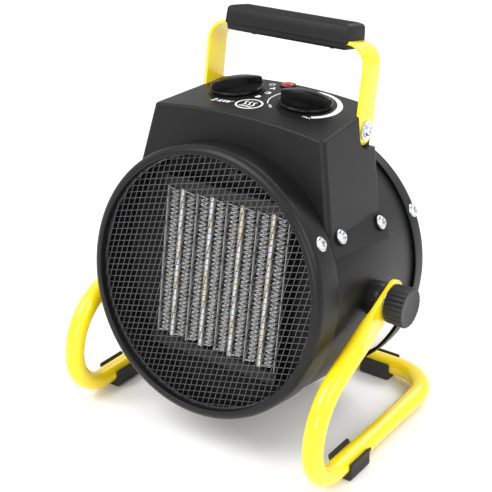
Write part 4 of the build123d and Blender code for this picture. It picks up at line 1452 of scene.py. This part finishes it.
def foot_outline(sizes):
    """Section of a rubber foot: a saddle that grips the tube, with a lip on each arm."""
    hold = sizes.tube_radius + 0.05 * MM
    middle = sizes.tube_z
    half = [(0.0, 0.0), (7.6, 0.0), (8.9, 0.6), (9.6, 1.8), (9.8, 3.6), (9.5, 8.0), (9.6, 11.6),
            (10.5, 13.4), (10.62, 14.8), (10.1, 15.7), (9.2, 15.6), (8.0, 13.6)]
    right = [(across * MM, up * MM) for across, up in half]
    start = radians(20)
    arc = []
    for index in range(22):
        angle = start - (start + pi / 2) * index / 21
        arc.append((hold * cos(angle), middle + hold * sin(angle)))
    right += arc
    left = [(-across, up) for across, up in reversed(right[1:-1])]
    return right + left


def foot_mesh(sizes, place):
    """A rubber foot along Y with eased ends."""
    outline = foot_outline(sizes)
    half = sizes.foot_length / 2
    centre = Vector((0, sizes.tube_z * 0.5))
    loops = []
    for along, ease in ((-half, 0.955), (-half + 0.35 * MM, 0.985), (-half + 1.0 * MM, 1.0),
                        (half - 1.0 * MM, 1.0), (half - 0.35 * MM, 0.985), (half, 0.955)):
        loop = []
        for across, up in outline:
            spread_x = centre.x + (across - centre.x) * ease
            inside = hypot(across, up - sizes.tube_z) < sizes.tube_radius + 0.2 * MM
            spread_z = up if inside else centre.y + (up - centre.y) * ease
            loop.append((across if inside else spread_x, along, spread_z))
        loops.append(loop)
    return mesh_from(*stacked(loops), place)


class HEATER_OT_feet(bpy.types.Operator):
    """Clip the four rubber feet to the stand"""
    bl_idname = "heater.feet"
    bl_label = "Rubber feet"

    def execute(self, context):
        sizes = context.scene.heater_stand
        rubber = finish_named("rubber", rubber_black, tuple(colours().rubber))
        for side, _ in SIDES:
            for end in ("front", "rear"):
                node = "foot_clip_" + end + "_" + side
                low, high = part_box(node)
                middle = (low + high) / 2
                place = Matrix.Translation((middle.x, middle.y, 0))
                if end == "rear":
                    place = place @ Matrix.Rotation(pi / 2, 4, "Z")
                piece("rubber_foot_" + end + "_" + side, foot_mesh(sizes, place), rubber, "stand",
                      [node])
        return {"FINISHED"}


# ---------------------------------------------------------------- heating element

def ribbon_mesh(width, height, depth, pitch, thick):
    """A ribbon folded to and fro between two plates, its edges towards -Y."""
    tree = PointTree("folded_ribbon", {
        "Width": ("Float", width),
        "Fold pitch": ("Float", pitch),
        "Folds": ("Int", int(height / pitch * 2)),
        "Depth": ("Float", depth),
        "Thickness": ("Float", thick),
        "Material": ("Material", None),
    })
    folds = tree.given("Folds")
    line = tree.add("GeometryNodeMeshLine", {"mode": "OFFSET"},
                    {"Count": folds, "Offset": (0, 0, 0)})
    index = tree.field("GeometryNodeInputIndex", "Index")
    side = index.remainder(2.0) - 0.5
    rise = (index - folds / 2.0 + 0.5) * tree.given("Fold pitch") / 2.0
    spot = tree.add("ShaderNodeCombineXYZ", None, {"X": side * tree.given("Width"), "Z": rise})
    placed = tree.add("GeometryNodeSetPosition", None,
                      {"Geometry": line.outputs["Mesh"], "Position": spot.outputs["Vector"]})
    curve = tree.add("GeometryNodeMeshToCurve", None, {"Mesh": placed.outputs["Geometry"]})
    eased = tree.add("GeometryNodeFilletCurve", {"mode": "POLY"},
                     {"Curve": curve.outputs["Curve"], "Count": 3, "Radius": 0.0005})
    facing = tree.add("GeometryNodeSetCurveNormal", {"mode": "FREE"},
                      {"Curve": eased.outputs["Curve"], "Normal": (0, 1, 0)})
    blade = tree.add("GeometryNodeCurvePrimitiveQuadrilateral", {"mode": "RECTANGLE"},
                     {"Width": tree.given("Depth"), "Height": tree.given("Thickness")})
    sheet = tree.add("GeometryNodeCurveToMesh", None,
                     {"Curve": facing.outputs["Curve"], "Profile Curve": blade.outputs["Curve"],
                      "Fill Caps": True})
    tree.end(sheet.outputs["Mesh"])
    return tree.run(points_mesh([(0, 0, 0)], [(0, 0, 1)]))


class HEATER_OT_element(bpy.types.Operator):
    """Build the folded fins and finish the ceramic element"""
    bl_idname = "heater.element"
    bl_label = "Heating element"

    def execute(self, context):
        nodes = frame["nodes"]
        foil = finish_named("foil", fin_foil)
        one = ribbon_mesh(11.1 * MM, 115.0 * MM, 14.0 * MM, 3.2 * MM, 0.34 * MM)
        spots = []
        module = 26.7 * MM
        shift = 1.6 * MM + 5.6 * MM
        for index in range(4):
            for side in (-1, 1):
                spots.append(Vector(((index - 1.5) * module + side * shift, -44.9 * MM, 0)))
        mesh = spread("fin_bank", one, spots, [Vector((0, 0, 1))] * len(spots), foil, 1, 0.0)
        mesh.transform(HEATER)
        piece("folded_fins", mesh, foil, "heater", ["fin_ribbons"])
        strip = finish_named("strip", bright_strip)
        nodes["contact_plates"].data.materials[0] = strip
        ceramic = finish_named("ceramic", fired_ceramic, tuple(colours().ceramic))
        nodes["ceramic_tiles"].data.materials[0] = ceramic
        return {"FINISHED"}


# ---------------------------------------------------------------- fan

def blade_mesh(place):
    """One twisted blade, wider at its tip, as a closed thin shell."""
    loops = []
    steps = 14
    for index in range(steps + 1):
        share = index / steps
        radius = (19.5 + 64.0 * share) * MM
        chord = (13.0 + 10.0 * share) * MM
        pitch = radians(48 - 20 * share)
        thick = (1.5 - 0.7 * share) * MM
        loop = []
        for corner in range(24):
            angle = 2 * pi * corner / 24
            along = chord * cos(angle)
            camber = 2.6 * MM * (1 - (along / chord)**2)
            high = thick * sin(angle) + camber
            swing = along * cos(pitch) - high * sin(pitch)
            deep = along * sin(pitch) + high * cos(pitch)
            turn = swing / radius + 0.25 * share
            limit = 10.6 * MM
            loop.append((radius * cos(turn), max(-limit, min(limit, deep)), radius * sin(turn)))
        loops.append(loop)
    return mesh_from(*stacked(loops), place)


class HEATER_OT_fan(bpy.types.Operator):
    """Build the impeller that blows air through the element"""
    bl_idname = "heater.fan"
    bl_label = "Fan"

    def execute(self, context):
        plastic = finish_named("fan", moulded_plastic, "fan_moulded", (0.03, 0.03, 0.032),
                               roughness=0.4)
        hub = [(2.6, -9), (6, -10.5), (16, -11), (19.5, -9.8), (21, -7), (21, 11), (18.5, 11),
               (18.5, -6), (6, -7.5), (6, 9), (2.6, 9)]
        middle = HEATER @ Matrix.Translation((0, 2 * MM, 0))
        meshes = [mesh_from(*revolved([(r * MM, y * MM) for r, y in hub], 72), middle)]
        for index in range(5):
            turn = Matrix.Rotation(2 * pi * index / 5, 4, "Y")
            meshes.append(blade_mesh(middle @ turn))
        piece("impeller_blades", joined(meshes), plastic, "fan", ["fan_impeller"])
        return {"FINISHED"}


# ---------------------------------------------------------------- everything that keeps its CAD shape

class HEATER_OT_inside(bpy.types.Operator):
    """Finish the pieces whose CAD shape is already right"""
    bl_idname = "heater.inside"
    bl_label = "Plain pieces"

    def execute(self, context):
        nodes = frame["nodes"]
        rubber = finish_named("rubber", rubber_black, tuple(colours().rubber))
        steel = finish_named("steel", galvanised)
        black = finish_named("black_sheet", powder_coat, "baffle_black", (0.012, 0.012, 0.012),
                             roughness=0.6)
        mould = finish_named("mould", moulded_plastic, "insulator_moulded", (0.02, 0.02, 0.02))
        label = finish_named("label", blank_label)
        coil = finish_named("coil", winding)
        finishes = {
            "cable_bushing": rubber, "terminal_block": mould, "element_rail_top": mould,
            "element_rail_bottom": mould, "element_baffle": black, "thermal_cutout": mould,
            "motor_can": steel, "motor_bracket": steel, "motor_stator": coil, "motor_rotor": coil,
            "motor_shaft": zinc(), "rating_plate": label, "selector_control": mould,
            "thermostat_control": mould, "selector_spindle": zinc(), "thermostat_spindle": zinc(),
            "handle_washers": zinc(),
        }
        for side, _ in SIDES:
            for name in ("nut_plate_", "clamp_washer_", "clamp_stud_"):
                finishes[name + side] = zinc()
        for name, material in finishes.items():
            nodes[name].data.materials[0] = material
        return {"FINISHED"}


# ---------------------------------------------------------------- stage

CAMERA_AZIMUTH = radians(35.48)
CAMERA_HEIGHT = radians(24.82)
CAMERA_ROLL = radians(0.12)
CAMERA_DISTANCE = 0.8893
CAMERA_TARGET = Vector((-0.01278, 0.0, 0.12923))
CAMERA_LENS = 85.6


def look_from(azimuth, height, distance, target, roll=0.0):
    """A place that looks at a target. Azimuth 0 looks along +Y."""
    back = Vector((sin(azimuth) * cos(height), -cos(azimuth) * cos(height), sin(height)))
    right = Vector((cos(azimuth), sin(azimuth), 0))
    up = back.cross(right)
    turn = Matrix((right, up, back)).transposed().to_4x4()
    return Matrix.Translation(target + back * distance) @ turn @ Matrix.Rotation(roll, 4, "Z")


def soft_light(name, azimuth, height, distance, width, depth, power):
    """A large soft light that faces the middle of the heater."""
    data = bpy.data.lights.new(name, "AREA")
    data.shape = "RECTANGLE"
    data.size = width
    data.size_y = depth
    data.energy = power
    lamp = bpy.data.objects.new(name, data)
    lamp.matrix_world = look_from(radians(azimuth), radians(height), distance, Vector((0, 0, 0.15)))
    bpy.context.scene.collection.objects.link(lamp)


class HEATER_OT_stage(bpy.types.Operator):
    """Set up the floor, the soft lights and the camera"""
    bl_idname = "heater.stage"
    bl_label = "Stage"

    def execute(self, context):
        size = 6.0
        sheet = mesh_from([(-size, -size, 0), (size, -size, 0), (size, size, 0), (-size, size, 0)],
                          [(0, 1, 2, 3)])
        sheet.materials.append(studio_floor())
        floor = bpy.data.objects.new("floor", sheet)
        context.scene.collection.objects.link(floor)
        world = bpy.data.worlds.new("studio")
        world.use_nodes = True
        background = world.node_tree.nodes["Background"]
        background.inputs["Color"].default_value = (1.0, 1.0, 1.0, 1.0)
        background.inputs["Strength"].default_value = 0.85
        context.scene.world = world
        soft_light("key", -30, 48, 1.9, 1.1, 1.1, 26)
        soft_light("fill", 75, 35, 2.0, 1.2, 1.0, 16)
        soft_light("front", 22, 14, 1.7, 0.7, 0.5, 7)
        soft_light("back", 170, 45, 2.2, 1.6, 1.0, 20)
        data = bpy.data.cameras.new("camera")
        data.lens = CAMERA_LENS
        data.sensor_width = 36.0
        data.clip_start = 0.01
        camera = bpy.data.objects.new("camera", data)
        camera.matrix_world = look_from(CAMERA_AZIMUTH, CAMERA_HEIGHT, CAMERA_DISTANCE,
                                        CAMERA_TARGET, CAMERA_ROLL)
        context.scene.collection.objects.link(camera)
        context.scene.camera = camera
        context.scene.view_settings.view_transform = "Standard"
        return {"FINISHED"}


# ---------------------------------------------------------------- add-on

PIECES = (
    HEATER_OT_stage, HEATER_OT_drum, HEATER_OT_grilles, HEATER_OT_screws, HEATER_OT_housing,
    HEATER_OT_knobs, HEATER_OT_handle, HEATER_OT_clamps, HEATER_OT_stand, HEATER_OT_feet,
    HEATER_OT_element, HEATER_OT_fan, HEATER_OT_inside,
)


class HEATER_PT_panel(bpy.types.Panel):
    """Lists the heater's pieces in the sidebar"""
    bl_idname = "HEATER_PT_panel"
    bl_label = "Ceramic fan heater"
    bl_space_type = "VIEW_3D"
    bl_region_type = "UI"
    bl_category = "Heater"

    def draw(self, context):
        for operator in PIECES:
            self.layout.operator(operator.bl_idname)


GROUPS = (DrumSizes, ControlSizes, StandSizes, HeaterColours)
CLASSES = GROUPS + PIECES + (HEATER_PT_panel,)


def register():
    for item in CLASSES:
        bpy.utils.register_class(item)
    bpy.types.Scene.heater_drum = PointerProperty(type=DrumSizes)
    bpy.types.Scene.heater_controls = PointerProperty(type=ControlSizes)
    bpy.types.Scene.heater_stand = PointerProperty(type=StandSizes)
    bpy.types.Scene.heater_colours = PointerProperty(type=HeaterColours)


def unregister():
    del bpy.types.Scene.heater_colours
    del bpy.types.Scene.heater_stand
    del bpy.types.Scene.heater_controls
    del bpy.types.Scene.heater_drum
    for item in reversed(CLASSES):
        bpy.utils.unregister_class(item)


def main():
    """Build every piece in order."""
    register()
    bpy.ops.heater.stage()
    bpy.ops.heater.drum()
    bpy.ops.heater.grilles()
    bpy.ops.heater.screws()
    bpy.ops.heater.housing()
    bpy.ops.heater.knobs()
    bpy.ops.heater.handle()
    bpy.ops.heater.clamps()
    bpy.ops.heater.stand()
    bpy.ops.heater.feet()
    bpy.ops.heater.element()
    bpy.ops.heater.fan()
    bpy.ops.heater.inside()


if __name__ == "__main__":
    main()
